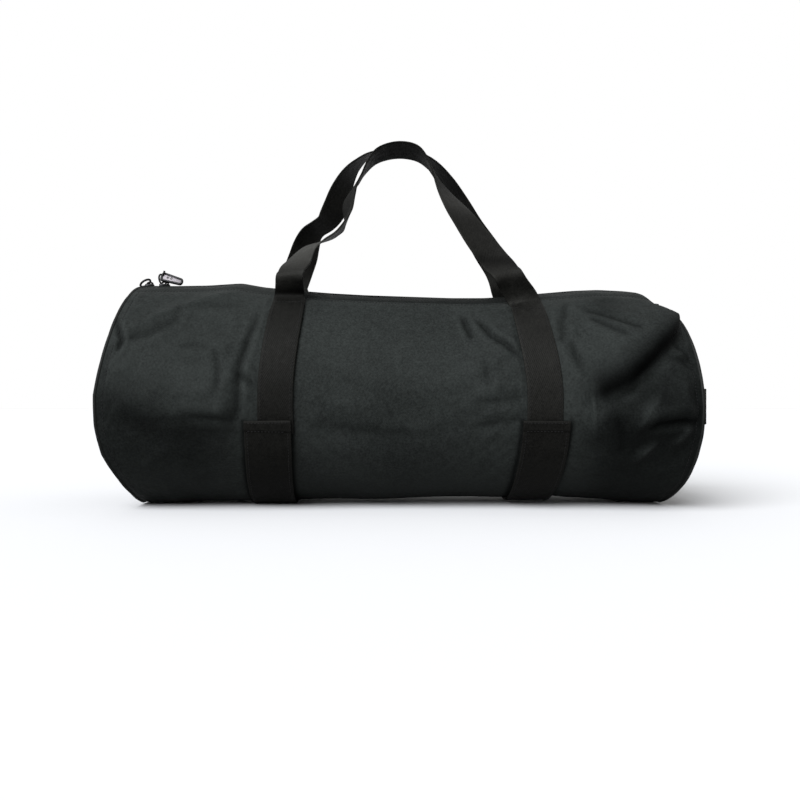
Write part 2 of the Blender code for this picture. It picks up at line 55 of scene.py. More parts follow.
# ---- camera ----
CAMERA_AWAY, CAMERA_HIGH = 1.04, 0.121
camera_data = bpy.data.cameras.new("camera")
camera_data.lens = 39.0
camera_data.sensor_width = 36.0
camera_data.clip_start = 0.05
camera_data.clip_end = 60
camera = bpy.data.objects.new("camera", camera_data)
camera.location = (BAG_X, -CAMERA_AWAY, CAMERA_HIGH)
camera.rotation_euler = (math.pi / 2, 0, 0)
bpy.context.scene.collection.objects.link(camera)
bpy.context.scene.camera = camera

# ---- small maths ----
CURVE_END, CURVE_COUNT = 0.36, 1441              # how far curves along X reach, and their points


def smooth(t):
    t = np.clip(t, 0.0, 1.0)
    return t * t * (3 - 2 * t)


def hump(away, wide):
    """1 in the middle, falling softly to 0 over about two widths."""
    return np.exp(-(away / wide) ** 2)


def faded(share, first, last):
    """1 along a line, easing to 0 over a share of it at each end."""
    return smooth(share / first) * smooth((1 - share) / last)


def bell(away):
    """A blurring kernel, from how many blur widths each of its cells is away."""
    kernel = np.exp(-0.5 * away ** 2)
    return kernel / kernel.sum()


def eased(knots, blur):
    """A soft curve along X near a short list of (place, value): straight lines, then blurred."""
    places, values = zip(*knots)
    grid = np.linspace(-CURVE_END, CURVE_END, CURVE_COUNT)
    step = 2 * CURVE_END / (CURVE_COUNT - 1)
    reach = int(3 * blur / step)
    line = np.pad(np.interp(grid, places, values), reach, mode="edge")
    soft = np.convolve(line, bell(np.arange(-reach, reach + 1) * step / blur), mode="valid")
    return lambda x: np.interp(x, grid, soft)


def unit(v):
    return v / np.maximum(np.linalg.norm(v, axis=-1, keepdims=True), 1e-12)


def blurred(field, rows, cols):
    """A grid of numbers blurred by about so many cells each way."""
    for axis, cells in ((0, rows), (1, cols)):
        reach = int(3 * cells) + 1
        kernel = bell(np.arange(-reach, reach + 1) / cells)
        pad = [(0, 0)] * field.ndim
        pad[axis] = (reach, reach)
        wide = np.pad(field, pad, mode="edge")
        field = np.apply_along_axis(lambda c: np.convolve(c, kernel, "valid"), axis, wide)
    return field


def softened(line, cells):
    """A line of points blurred along itself."""
    return blurred(line[:, None, :], cells, 0.01)[:, 0]


def read_at(field, r, c):
    """A grid's value at fractions of its rows and columns."""
    r0 = np.minimum(np.asarray(r).astype(int), field.shape[0] - 2)
    c0 = np.minimum(np.asarray(c).astype(int), field.shape[1] - 2)
    fr, fc = r - r0, c - c0
    return ((field[r0, c0] * (1 - fr) + field[r0 + 1, c0] * fr) * (1 - fc)
            + (field[r0, c0 + 1] * (1 - fr) + field[r0 + 1, c0 + 1] * fr) * fc)


def grid_faces(rows, cols, round_cols=False, round_rows=False):
    """Quads of a grid of points, which may close on itself either way."""
    index = np.arange(rows * cols).reshape(rows, cols)
    if round_cols:
        index = np.concatenate([index, index[:, :1]], axis=1)
    if round_rows:
        index = np.concatenate([index, index[:1]], axis=0)
    quads = np.stack([index[:-1, :-1], index[1:, :-1], index[1:, 1:], index[:-1, 1:]], -1)
    return quads.reshape(-1, 4).tolist()


def noise_field(points, scale, seed):
    """Smooth noise at each of a grid of points, about -1 to 1."""
    flat = points.reshape(-1, 3) / scale + seed
    made = np.array([noise.noise(Vector(p)) for p in flat])
    return made.reshape(points.shape[:-1])


# ---- the barrel's shape ----
FABRIC = 0.0018                                   # how thick the canvas is
LOWEST = FABRIC + 0.0004                          # the canvas never goes lower than this
SEAM_Y = 0.052                                    # the seam beside the zip panels
ZIP_EDGE_Y = 0.0125                               # the folded edge beside the zip

half_width = eased([(-0.36, 0.126), (-0.30, 0.130), (-0.23, 0.1305), (-0.16, 0.126),
                    (-0.08, 0.121), (0.0, 0.120), (0.08, 0.121), (0.16, 0.126),
                    (0.24, 0.1300), (0.28, 0.1270), (0.32, 0.1205), (0.36, 0.114)], 0.014)
crown = eased([(-0.36, 0.253), (-0.316, 0.2535), (-0.295, 0.2562), (-0.262, 0.2560),
               (-0.225, 0.2566), (-0.186, 0.2592), (-0.160, 0.2545), (-0.108, 0.2496),
               (-0.080, 0.2474), (-0.040, 0.2452), (0.024, 0.2430), (0.060, 0.2418),
               (0.100, 0.2418), (0.130, 0.2440), (0.156, 0.2463), (0.203, 0.2503),
               (0.232, 0.2514), (0.262, 0.2500), (0.282, 0.2478), (0.292, 0.2400),
               (0.300, 0.2300), (0.318, 0.2262), (0.36, 0.220)], 0.0038)
base = eased([(-0.36, -0.002), (-0.26, 0.0), (-0.225, 0.0030), (-0.13, 0.0022),
              (-0.09, 0.0042), (0.0, 0.0048), (0.05, 0.0068), (0.08, 0.0080),
              (0.12, 0.0058), (0.18, 0.0078), (0.22, 0.0066), (0.25, 0.0034),
              (0.29, 0.0), (0.36, -0.002)], 0.010)
# How far out each end seam lies, from the crown to the foot.
RING_ANGLES = np.arange(0, 181, 15)
LEFT_RING = (0.3035, 0.3040, 0.3045, 0.3072, 0.3105, 0.3155, 0.3210, 0.3215, 0.3180, 0.3085,
             0.3015, 0.2990, 0.2985)
RIGHT_RING = (0.3090, 0.3110, 0.3145, 0.3165, 0.3190, 0.3210, 0.3225, 0.3215, 0.3185, 0.3145,
              0.3085, 0.3035, 0.3020)


def ring_x(turn, side):
    """Where the end seam lies along X, all round."""
    angle = np.degrees(np.abs((turn + math.pi) % (2 * math.pi) - math.pi))
    return side * np.interp(angle, RING_ANGLES, LEFT_RING if side < 0 else RIGHT_RING)


def section(x, turn):
    """The barrel's plain surface. A turn of 0 is the crown; turns grow towards the front."""
    wide, top, low = half_width(x), crown(x), base(x)
    tall = (top - low) / 2
    y = -wide * np.sin(turn)
    z = (top + low) / 2 + tall * np.cos(turn)
    return np.stack([x + 0 * y, y, np.maximum(z, LOWEST)], axis=-1)


def normals_of(points):
    """Outward normals of a grid whose rows run along X and whose columns grow in turn."""
    along = np.gradient(points, axis=0)
    around = np.gradient(points, axis=1)
    return unit(np.cross(around, along))


def seam_turn(x):
    """The turn at the zip panel's seam."""
    return np.arcsin(SEAM_Y / half_width(x))


def near_line(points, line):
    """How far each point's x and z lie from a polyline, more than 0 on its left; and the
    share along it of the nearest point."""
    points = points[..., [0, 2]]
    best = np.full(points.shape[:-1], 1e9)
    share = np.zeros(points.shape[:-1])
    hand = np.ones(points.shape[:-1])
    marks = [np.array(p) for p in line]
    lengths = [np.linalg.norm(b - a) for a, b in zip(marks, marks[1:])]
    total, gone = sum(lengths), 0.0
    for a, b, length in zip(marks, marks[1:], lengths):
        t = np.clip(((points - a) @ (b - a)) / length ** 2, 0, 1)
        away = np.linalg.norm(points - (a + t[..., None] * (b - a)), axis=-1)
        nearer = away < best
        best = np.where(nearer, away, best)
        share = np.where(nearer, (gone + t * length) / total, share)
        turned = (b - a)[0] * (points - a)[..., 1] - (b - a)[1] * (points - a)[..., 0]
        hand = np.where(nearer, np.sign(turned), hand)
        gone += length
    return best * hand, share


# Creases on the front, as x and z along each, its half width, its depth (negative for a
# ridge) and how much its edges stand proud.
FRONT_FOLDS = [
    ([(0.310, 0.200), (0.290, 0.180), (0.264, 0.157), (0.240, 0.138)], 0.0065, 0.0060, 0.2),
    ([(0.199, 0.225), (0.229, 0.210), (0.263, 0.192)], 0.0046, 0.0030, 0.5),
    ([(0.204, 0.213), (0.224, 0.200), (0.245, 0.186)], 0.0042, 0.0032, 0.5),
    ([(0.182, 0.187), (0.189, 0.163), (0.198, 0.140)], 0.0048, 0.0028, 0.4),
    ([(0.200, 0.144), (0.203, 0.108), (0.207, 0.073)], 0.0056, -0.0046, 0.0),
    ([(0.257, 0.091), (0.271, 0.099), (0.296, 0.101), (0.319, 0.099)], 0.0052, 0.0046, 0.5),
    ([(0.248, 0.091), (0.259, 0.110), (0.274, 0.129)], 0.0060, -0.0050, 0.1),
    ([(0.251, 0.053), (0.262, 0.067), (0.276, 0.081)], 0.0052, -0.0044, 0.1),
    ([(0.290, 0.071), (0.300, 0.083), (0.306, 0.097)], 0.0046, -0.0034, 0.1),
    ([(0.282, 0.168), (0.299, 0.162), (0.315, 0.152)], 0.0044, 0.0022, 0.5),
    ([(0.291, 0.185), (0.306, 0.172), (0.317, 0.151)], 0.0044, 0.0020, 0.5),
    ([(0.186, 0.233), (0.178, 0.208), (0.173, 0.180)], 0.0050, 0.0022, 0.4),
    ([(0.224, 0.108), (0.234, 0.088), (0.238, 0.064)], 0.0060, 0.0018, 0.4),
    ([(-0.311, 0.213), (-0.297, 0.185), (-0.301, 0.170)], 0.0034, 0.0042, 0.3),
    ([(-0.305, 0.182), (-0.312, 0.160), (-0.312, 0.138)], 0.0050, 0.0018, 0.4),
    ([(-0.153, 0.222), (-0.163, 0.180), (-0.169, 0.157), (-0.170, 0.129), (-0.172, 0.098)],
     0.0038, 0.0027, 0.4),
    ([(-0.198, 0.178), (-0.190, 0.151), (-0.193, 0.126)], 0.0044, 0.0018, 0.4),
    ([(-0.222, 0.106), (-0.189, 0.103), (-0.173, 0.099)], 0.0044, 0.0022, 0.4),
    ([(-0.173, 0.148), (-0.161, 0.140), (-0.150, 0.131)], 0.0048, 0.0026, 0.5),
    ([(-0.295, 0.184), (-0.267, 0.195), (-0.244, 0.210), (-0.238, 0.228)], 0.0056, 0.0022, 0.5),
    ([(-0.282, 0.206), (-0.234, 0.226), (-0.186, 0.243)], 0.0070, -0.0038, 0.1),
    ([(-0.250, 0.222), (-0.215, 0.228), (-0.170, 0.226)], 0.0050, 0.0016, 0.4),
    ([(-0.236, 0.176), (-0.218, 0.180), (-0.200, 0.176)], 0.0050, 0.0014, 0.4),
    ([(0.069, 0.217), (0.073, 0.203), (0.079, 0.187)], 0.0036, 0.0036, 0.4),
    ([(0.084, 0.213), (0.099, 0.190), (0.115, 0.179), (0.131, 0.163)], 0.0036, 0.0044, 0.4),
    ([(0.089, 0.166), (0.093, 0.147), (0.095, 0.132)], 0.0050, 0.0016, 0.4),
    ([(0.074, 0.121), (0.100, 0.119), (0.131, 0.123)], 0.0060, 0.0014, 0.4),
    ([(0.072, 0.091), (0.104, 0.096), (0.133, 0.100)], 0.0060, 0.0013, 0.5),
    ([(-0.106, 0.095), (-0.053, 0.089), (0.021, 0.083)], 0.0110, 0.0014, 0.5),
]
# Steps, where the fabric above a line bulges over the fabric below it: the line, how wide
# the drop is, how high the bulge stands, how deep the foot of it sinks, how far both reach.
FRONT_STEPS = [
    ([(0.182, 0.121), (0.213, 0.125), (0.240, 0.136), (0.264, 0.157), (0.290, 0.180),
      (0.310, 0.200), (0.318, 0.214)], 0.0220, 0.0150, 0.0025, 0.050),
    ([(-0.325, 0.126), (-0.292, 0.110), (-0.240, 0.097), (-0.170, 0.094)],
     0.0420, 0.0095, 0.0, 0.055),
    ([(0.160, 0.094), (0.240, 0.086), (0.320, 0.094)], 0.0460, 0.0130, 0.0, 0.055),
    ([(-0.310, 0.114), (-0.292, 0.106), (-0.260, 0.100), (-0.222, 0.106), (-0.180, 0.100)],
     0.0120, 0.0018, 0.0, 0.030),
    ([(-0.100, 0.116), (-0.040, 0.112), (0.030, 0.114), (0.120, 0.112)],
     0.0240, 0.0028, 0.0, 0.040),
    ([(0.257, 0.089), (0.271, 0.098), (0.296, 0.100), (0.319, 0.098)],
     0.0080, 0.0036, 0.0010, 0.018),
    ([(0.080, 0.206), (0.099, 0.186), (0.115, 0.175), (0.131, 0.159)],
     0.0060, 0.0018, 0.0, 0.016),
]
REAR_FOLDS = [
    ([(-0.318, 0.220), (-0.296, 0.190), (-0.262, 0.168), (-0.228, 0.150)], 0.0085, 0.0060, 0.5),
    ([(-0.318, 0.096), (-0.284, 0.102), (-0.252, 0.092)], 0.0060, 0.0034, 0.5),
    ([(-0.212, 0.060), (-0.206, 0.098), (-0.210, 0.138)], 0.0060, -0.0028, 0.0),
    ([(-0.198, 0.228), (-0.184, 0.196), (-0.182, 0.160)], 0.0050, 0.0030, 0.5),
    ([(-0.070, 0.214), (-0.088, 0.192), (-0.112, 0.172)], 0.0050, 0.0024, 0.5),
    ([(-0.060, 0.110), (-0.010, 0.120), (0.052, 0.114)], 0.0090, 0.0026, 0.5),
    ([(0.040, 0.226), (0.052, 0.200), (0.050, 0.176)], 0.0050, 0.0020, 0.5),
    ([(0.186, 0.232), (0.196, 0.200), (0.192, 0.170)], 0.0050, 0.0028, 0.5),
    ([(0.212, 0.214), (0.250, 0.190), (0.292, 0.176)], 0.0075, 0.0044, 0.5),
    ([(0.318, 0.108), (0.280, 0.098), (0.236, 0.104)], 0.0065, 0.0030, 0.5),
    ([(0.216, 0.070), (0.242, 0.056), (0.276, 0.052)], 0.0060, 0.0024, 0.4),
]


def frontness(points):
    """1 on the front of the barrel and 0 on its rear."""
    return smooth((0.03 - points[..., 1]) / 0.06)


def folds(points, lines):
    """How far the folds move the surface out, at each point of one side."""
    made = np.zeros(points.shape[:-1])
    for line, wide, deep, proud in lines:
        away, share = near_line(points, line)
        t = np.abs(away) / wide
        ends = np.clip(np.sin(np.pi * np.clip(share, 0.02, 0.98)), 0, 1) ** 0.55
        cut = 0.55 * hump(t, 1) + 0.45 * hump(t * 2.2, 1)
        made += ends * deep * (-cut + proud * hump(t - 2.1, 1))
    return made


def steps(points, lines):
    """How far the stepped folds move the surface out, at each point of one side."""
    made = np.zeros(points.shape[:-1])
    for line, wide, high, sunk, reach in lines:
        away, share = near_line(points, line)
        ends = faded(share, 0.40, 0.12)
        up = smooth(away / wide + 0.5)
        made += ends * (high * up * hump(away, reach)
                        - sunk * (1 - up) * hump(away / reach * 1.4, 1))
    return made


STRAPS = ((-0.132, -0.1245), (0.1535, 0.1420))   # x low down, and where a handle leaves
BANDS = ((-0.1405, -0.1450), (0.1555, 0.1480))   # x at the hems, and under the barrel


def strap_x(index, z):
    """The middle of a strap at a height."""
    low, high = STRAPS[index]
    return low + (high - low) * smooth((z - 0.12) / 0.12)


def strap_cover(points):
    """1 where webbing lies on the fabric and keeps it flat, 0 away from it."""
    made = np.zeros(points.shape[:-1])
    for i in (0, 1):
        away = np.abs(points[..., 0] - strap_x(i, points[..., 2]))
        made = np.maximum(made, smooth((0.0245 - away) / 0.0055))
    return made


# Patches of painted shade on the front: x, z, radius, how dark.
PAINTED_SHADE_SPOTS = [(0.262, 0.128, 0.024, 0.45), (0.226, 0.224, 0.022, 0.32), (-0.280, 0.118, 0.034, 0.30),
              (-0.215, 0.072, 0.042, 0.26), (0.020, 0.070, 0.055, 0.14), (0.300, 0.172, 0.020, 0.25),
              (0.222, 0.106, 0.020, 0.40)]

PAINT_PER_FOLD_DEPTH = 150                                 # how strongly a crease is painted dark, and a ridge painted pale, for each metre of its depth


def painted_shade_and_highlight(points):
    """Painted shade in creases, at the lower ends, under the big stepped fold, in patches and beside
    the base bands, up to 1; painted highlights on ridges, below 0.
    """
    made = ridge_highlight = np.zeros(points.shape[:-1])
    front = frontness(points)
    # Painted shade along creases, and painted highlights along ridges.
    for side, lines in ((front, FRONT_FOLDS), (1 - front, REAR_FOLDS)):
        for line, wide, deep, _ in lines:
            away, share = near_line(points, line)
            if deep > 0:
                core = 0.6 * hump(away / wide, 0.55) + 0.4 * hump(away, wide)
                dark = side * faded(share, 0.15, 0.15) * min(PAINT_PER_FOLD_DEPTH * deep, 0.60)
                made = np.maximum(made, dark * core)
            else:
                painted_light = PAINT_PER_FOLD_DEPTH * abs(deep) * hump(away / wide, 1.4)
                ridge_highlight = np.maximum(ridge_highlight, side * faded(share, 0.55, 0.55) * painted_light)
    # Painted shadow under the bulge of the big stepped fold.
    away, share = near_line(points, FRONT_STEPS[0][0])
    fold = hump(away - 0.005, np.where(away > 0.005, 0.028 - 0.020 * share, 0.011 - 0.007 * share))
    made = np.maximum(made, front * 0.93 * fold * faded(share, 0.20, 0.08))
    # Painted shade at the lower ends, and below the big stepped fold.
    x, z = points[..., 0], points[..., 2]
    ends = smooth((np.abs(x) - 0.165) / 0.07)
    low = smooth((0.128 + 0.45 * np.maximum(np.abs(x) - 0.24, 0) - z) / 0.045)
    low = low * (0.45 + 0.55 * smooth((z - 0.02) / 0.05))
    beyond = smooth((x - 0.19) / 0.05) * smooth(-(away + 0.004) / 0.02) * smooth((0.26 - z) / 0.04)
    unshaded = (1 - 0.42 * ends * low) * (1 - 0.38 * front * beyond)
    # Patches of painted shade.
    for at_x, at_z, wide, dark in PAINTED_SHADE_SPOTS:
        unshaded = unshaded * (1 - dark * front * hump(np.hypot(x - at_x, z - at_z), wide))
    # Painted shadow in the narrow gaps beside the base bands.
    for hem, under in BANDS:
        gap = np.abs(x - hem - (under - hem) * smooth((0.1 - z) / 0.1)) - 0.0258
        unshaded = unshaded * (1 - 0.7 * hump(gap, 0.0028) * smooth((0.104 - z) / 0.006))
    return (1 - (1 - made) * unshaded) * (1 - 0.8 * ridge_highlight) - 0.13 * ridge_highlight


# ---- the body panel as a grid ----
ALONG, AROUND = 301, 241
TRIAL_ALONG, TRIAL_AROUND = 112, 88
FRONT_SHARE = 0.62                               # of the columns lie on the front half
# How the canvas settles: light and fairly stiff cloth, a little slack, held where it is sewn.
CLOTH = {"quality": 5, "mass": 0.35, "tension_stiffness": 18, "compression_stiffness": 18,
         "shear_stiffness": 6, "bending_stiffness": 0.6, "air_damping": 3,
         "vertex_group_mass": "sewn", "pin_stiffness": 6, "use_pressure": True,
         "uniform_pressure_force": 1.2, "shrink_min": -0.022, "shrink_max": -0.022}


def body_grid(along, around):
    """The plain barrel as rows along X: its points, their turns and their shares along."""
    share = np.linspace(0, 1, along)[:, None]
    lap = np.interp(np.linspace(0, 1, around), (0, FRONT_SHARE, 1), (0, 0.5, 1))[None, :]
    x = -0.31 + 0.62 * share + 0 * lap
    for _ in range(3):
        turn = seam_turn(x) + lap * (2 * math.pi - 2 * seam_turn(x))
        left, right = ring_x(turn, -1), ring_x(turn, 1)
        x = left + (right - left) * share
    return section(x, turn), turn, share + 0 * lap


def simulated(points):
    """Lets the panel settle as cloth, sewn at its four edges, and returns where it goes."""
    rows, cols = points.shape[:2]
    mesh = bpy.data.meshes.new("cloth_trial")
    mesh.from_pydata(points.reshape(-1, 3).tolist(), [], grid_faces(rows, cols))
    cloth = bpy.data.objects.new("cloth_trial", mesh)
    bpy.context.scene.collection.objects.link(cloth)
    sewn = cloth.vertex_groups.new(name="sewn")
    held = 0.35 * strap_cover(points)
    held[[0, -1], :] = held[:, [0, -1]] = 1.0
    for v, hold in enumerate(held.ravel().tolist()):
        if hold > 0:
            sewn.add([v], hold, "REPLACE")
    modifier = cloth.modifiers.new("cloth", "CLOTH")
    for key, value in CLOTH.items():
        setattr(modifier.settings, key, value)
    modifier.settings.effector_weights.gravity = 0.35
    modifier.collision_settings.use_collision = False
    modifier.point_cache.frame_start = 1
    modifier.point_cache.frame_end = 30
    for step in range(1, 27):
        bpy.context.scene.frame_set(step)
    made = cloth.evaluated_get(bpy.context.evaluated_depsgraph_get()).to_mesh()
    places = np.zeros(rows * cols * 3, np.float32)
    made.vertices.foreach_get("co", places)
    bpy.data.objects.remove(cloth)
    bpy.context.scene.frame_set(1)
    return places.reshape(rows, cols, 3).astype(float)


FULL_Y, FULL_GIVE = 0.1370, 0.0070                # where bulges stop growing, and how softly
plain, turns, shares = body_grid(ALONG, AROUND)
plain_normals = normals_of(plain)
front_side = frontness(plain)
lift = front_side * folds(plain, FRONT_FOLDS) + (1 - front_side) * folds(plain, REAR_FOLDS)
lift += front_side * steps(plain, FRONT_STEPS)
lift += 0.0016 * noise_field(plain, 0.085, 3.1)
# Small sharp dents, more of them towards the ends.
near_ends = smooth((np.abs(plain[..., 0]) - 0.13) / 0.10)
ridged = 0.5 - np.abs(noise_field(plain * np.array([1, 0.75, 0.75]), 0.034, 7.7))
lift += (0.0005 + 0.0016 * near_ends) * ridged
ridged = 0.5 - np.abs(noise_field(plain * np.array([0.8, 1, 1]), 0.019, 2.2))
lift += (0.0002 + 0.0006 * near_ends) * ridged
trial, _, _ = body_grid(TRIAL_ALONG, TRIAL_AROUND)
out = np.sum((simulated(trial) - trial) * normals_of(trial), axis=-1)
out = np.clip(0.22 * (out - blurred(out, 9, 9)), -0.0022, 0.0022)
lift += read_at(out, np.linspace(0, TRIAL_ALONG - 1, ALONG)[:, None],
                np.linspace(0, TRIAL_AROUND - 1, AROUND)[None, :])
# Puckers where the panel is gathered into the end seams.
to_end = np.minimum(shares, 1 - shares) * 0.62
arc = turns * 0.128
pucker = noise_field(np.stack([arc, 0 * arc, shares * 2], -1), 0.011, 1.3)
lift += 0.0016 * pucker * np.exp(-to_end / 0.016)
# Webbing and seams hold the canvas down.
seam_turns = seam_turn(plain[..., 0])
to_seam = np.minimum(turns - seam_turns, 2 * math.pi - seam_turns - turns) * 0.125
lift *= 1 - 0.85 * strap_cover(plain)
lift *= smooth(to_end / 0.012) * smooth(to_seam / 0.020)
body_points = plain + plain_normals * lift[..., None]
body_points[..., 2] = np.maximum(body_points[..., 2], LOWEST)
past = np.maximum(-body_points[..., 1] - FULL_Y, 0)
body_points[..., 1] += past - FULL_GIVE * np.tanh(past / FULL_GIVE)
body_normals = normals_of(body_points)
calm_points = blurred(body_points, 3, 3)
calm_points[..., 2] = np.maximum(calm_points[..., 2], LOWEST)
calm_normals = normals_of(calm_points)


def on_body(x, turn, out, calm=True):
    """A point at x and turn, so far out from the finished surface, and the normal there."""
    points, normals = (calm_points, calm_normals) if calm else (body_points, body_normals)
    start = seam_turn(x)
    lap = np.clip((turn - start) / (2 * math.pi - 2 * start), 0, 1)
    left, right = ring_x(turn, -1), ring_x(turn, 1)
    r = np.clip((x - left) / (right - left), 0, 1) * (ALONG - 1)
    c = np.interp(lap, (0, 0.5, 1), (0, FRONT_SHARE, 1)) * (AROUND - 1)
    normal = unit(read_at(normals, r, c))
    return read_at(points, r, c) + normal * out, normal


def turn_for_z(x, z):
    """The turn at which the barrel is z high."""
    top, low = float(crown(x)), float(base(x))
    return math.acos(max(-1.0, min(1.0, (z - (top + low) / 2) / ((top - low) / 2))))


# ---- making objects ----
bag = bpy.data.collections.new("rope_bag_looks")
bpy.context.scene.collection.children.link(bag)


def add_mesh(name, points, faces, material, uvs=None):
    """An object from bag-frame points; uvs is one (u, v) in metres for each point."""
    mesh = bpy.data.meshes.new(name)
    places = np.asarray(points, float).reshape(-1, 3) + BAG_MIDDLE
    mesh.from_pydata(places.tolist(), [], faces)
    mesh.validate()
    if uvs is not None:
        layer = mesh.uv_layers.new(name="metres")
        loops = np.zeros(len(mesh.loops), np.int32)
        mesh.loops.foreach_get("vertex_index", loops)
        flat = np.asarray(uvs, float).reshape(-1, 2)[loops]
        layer.data.foreach_set("uv", flat.astype(np.float32).ravel())
    mesh.shade_smooth()
    mesh.materials.append(material)
    obj = bpy.data.objects.new(name, mesh)
    bag.objects.link(obj)
    return obj


def outward(obj):
    """Turns the faces of a closed piece outwards."""
    bm = bmesh.new()
    bm.from_mesh(obj.data)
    bmesh.ops.recalc_face_normals(bm, faces=bm.faces)
    bm.to_mesh(obj.data)
    bm.free()
    return obj


def thickened(obj, thick, offset=-1.0):
    modifier = obj.modifiers.new("thickness", "SOLIDIFY")
    modifier.thickness = thick
    modifier.offset = offset
    return obj


def stack_faces(count, sides, first=0):
    """Faces of a stack of closed rings of points, and of its two ends."""
    last = first + (count - 1) * sides
    walls = [[first + v for v in face] for face in grid_faces(count, sides, round_cols=True)]
    return walls + [list(range(first, first + sides)), list(range(last, last + sides))[::-1]]


def run_along(places, axis=0):
    """The distance gone along each line of points."""
    steps_of = np.linalg.norm(np.diff(places, axis=axis), axis=-1)
    return np.concatenate([0 * np.take(steps_of, [0], axis), np.cumsum(steps_of, axis)], axis)


def read_line(at, run, values):
    """Rows of three numbers, read at a distance along their line."""
    return np.stack([np.interp(at, run, values[:, k]) for k in range(3)], -1)


def add_grid(name, points, material, uvs=None, thick=0.0, offset=-1.0, flip=False):
    """An open sheet from rows of points."""
    faces = grid_faces(*points.shape[:2])
    if flip:
        faces = [f[::-1] for f in faces]
    if uvs is None:
        uvs = np.stack([run_along(points, 0), run_along(points, 1)], -1)
    obj = add_mesh(name, points, faces, material, uvs)
    return thickened(obj, thick, offset) if thick else obj


def sweep(name, centres, wides, outs, profile, material):
    """A closed strip: profile points (across, out) carried along a line, capped at its ends."""
    points = (centres[:, None] + wides[:, None] * profile[None, :, :1]
              + outs[:, None] * profile[None, :, 1:])
    rows, cols = points.shape[:2]
    uvs = np.stack([np.repeat(profile[None, :, 0], rows, 0),
                    np.repeat(run_along(centres)[:, None], cols, 1)], -1)
    return outward(add_mesh(name, points, stack_faces(rows, cols), material, uvs))


def web_profile(wide, thick, cells=12):
    """Flat webbing, across and out, with thin rolled edges."""
    half, t = wide / 2, thick / 2
    across = np.linspace(-half + 0.0011, half - 0.0011, cells)
    lift_of = t * (0.94 + 0.06 * np.cos(across / half * math.pi * 4))
    edge = [(half - 0.0004, t * 0.80), (half, 0.0), (half - 0.0004, -t * 0.80)]
    return np.array([*zip(across, lift_of), *edge, *zip(across[::-1], -lift_of),
                     *((-a, -h) for a, h in edge)])


STITCH_PITCH, STITCH_LONG, STITCH_THICK = 0.0036, 0.0027, 0.00036
# Rings of one stitch: the share along it, how fat, how far out; its ends dip into the cloth.
STITCH_RINGS = ((0.0, 0.45, -0.9), (0.25, 1.0, 0.15), (0.75, 1.0, 0.15), (1.0, 0.45, -0.9))
STITCH_ANGLES = [2 * math.pi * k / 5 for k in range(5)]


def stitch_mesh(name, rows, material):
    """Rows of thread stitches. A row is a list of (point, normal) along a line."""
    points, faces = [], []
    for row in rows:
        places, outs = (np.array(part, float) for part in zip(*row))
        run = run_along(places)
        for k in range(int(run[-1] / STITCH_PITCH)):
            middle = (k + 0.5) * STITCH_PITCH
            start = read_line(middle - STITCH_LONG / 2, run, places)
            along = read_line(middle + STITCH_LONG / 2, run, places) - start
            out = unit(read_line(middle, run, outs))
            side = unit(np.cross(unit(along), out))
            faces += stack_faces(len(STITCH_RINGS), len(STITCH_ANGLES), len(points))
            for share_on, swell, dip in STITCH_RINGS:
                centre = start + along * share_on + out * STITCH_THICK * dip
                points += [centre + (side * math.cos(a) + out * math.sin(a)) * STITCH_THICK * swell
                           for a in STITCH_ANGLES]
    return outward(add_mesh(name, points, faces, material))


def places_of(obj):
    """The bag-frame points of a piece."""
    places = np.zeros(len(obj.data.vertices) * 3, np.float32)
    obj.data.vertices.foreach_get("co", places)
    return places.reshape(-1, 3).astype(float) - BAG_MIDDLE


def set_painted_shading(obj, values):
    """Above 0 a point gets painted shade, darker and duller; below 0 a painted highlight, paler and
    shinier.
    """
    painted_shading = obj.data.attributes.new("painted_shading", "FLOAT", "POINT")
    painted_shading.data.foreach_set("value", np.asarray(values).astype(np.float32).ravel())


def blend_by(obj, weight_of):
    """Bakes a piece's place into its points and works out a weight for each point between the bag and
    one moving body; the weights are not kept.
    """
    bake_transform(obj)
    weights = np.clip(weight_of(places_of(obj)), 0, 1).astype(np.float32)


# ---- materials ----
def grey(value, warm=0.0):
    """A near grey: warm above 0 leans to brown, below 0 to a cold green."""
    if warm < 0:
        return (value * (1 + warm), value * (1 - warm * 0.06), value * 0.945, 1)
    return (value * (1 + warm), value * (1 + warm * 0.85), value * (1 - warm), 1)


class Recipe:
    """A new material, with short ways to add nodes to it."""

    def __init__(self, name):
        self.material = bpy.data.materials.new(name)
        self.material.use_nodes = True
        self.nodes = self.material.node_tree.nodes

    def node(self, kind, inputs, **settings):
        """A node; each of its named inputs gets a link or a plain value."""
        node = self.nodes.new("ShaderNode" + kind)
        for key, value in settings.items():
            setattr(node, key, value)
        self.feed(node, inputs)
        return node.outputs

    def feed(self, node, inputs):
        for key, value in inputs.items():
            if isinstance(value, bpy.types.NodeSocket):
                self.material.node_tree.links.new(value, node.inputs[key])
            else:
                node.inputs[key].default_value = value

    def times(self, a, b):
        return self.node("Math", {0: a, 1: b}, operation="MULTIPLY")[0]

    def plus(self, first, *others):
        for other in others:
            first = self.node("Math", {0: first, 1: other}, operation="ADD")[0]
        return first

    def noise(self, scale, detail, rough):
        return self.node("TexNoise", {"Scale": scale, "Detail": detail, "Roughness": rough,
                                      "Vector": self.node("TexCoord", {})["Object"]})["Fac"]

    def ramp(self, value, *stops):
        colour = self.node("ValToRGB", {"Fac": value})["Color"]
        elements = colour.node.color_ramp.elements
        elements.remove(elements[-1])
        elements[0].position, elements[0].color = stops[0]
        for place, shade in stops[1:]:
            elements.new(place).color = shade
        return colour

    def mix(self, share_of, a, b, blend="MIX"):
        return self.node("Mix", {"Factor": share_of, 6: a, 7: b}, data_type="RGBA",
                         blend_type=blend)[2]

    def finish(self, height, strength, distance, inputs):
        """Gives the surface its bumps and the rest of its shader's inputs."""
        bump = self.node("Bump", {"Strength": strength, "Distance": distance, "Height": height})
        self.feed(self.nodes["Principled BSDF"], {**inputs, "Normal": bump[0]})
        return self.material


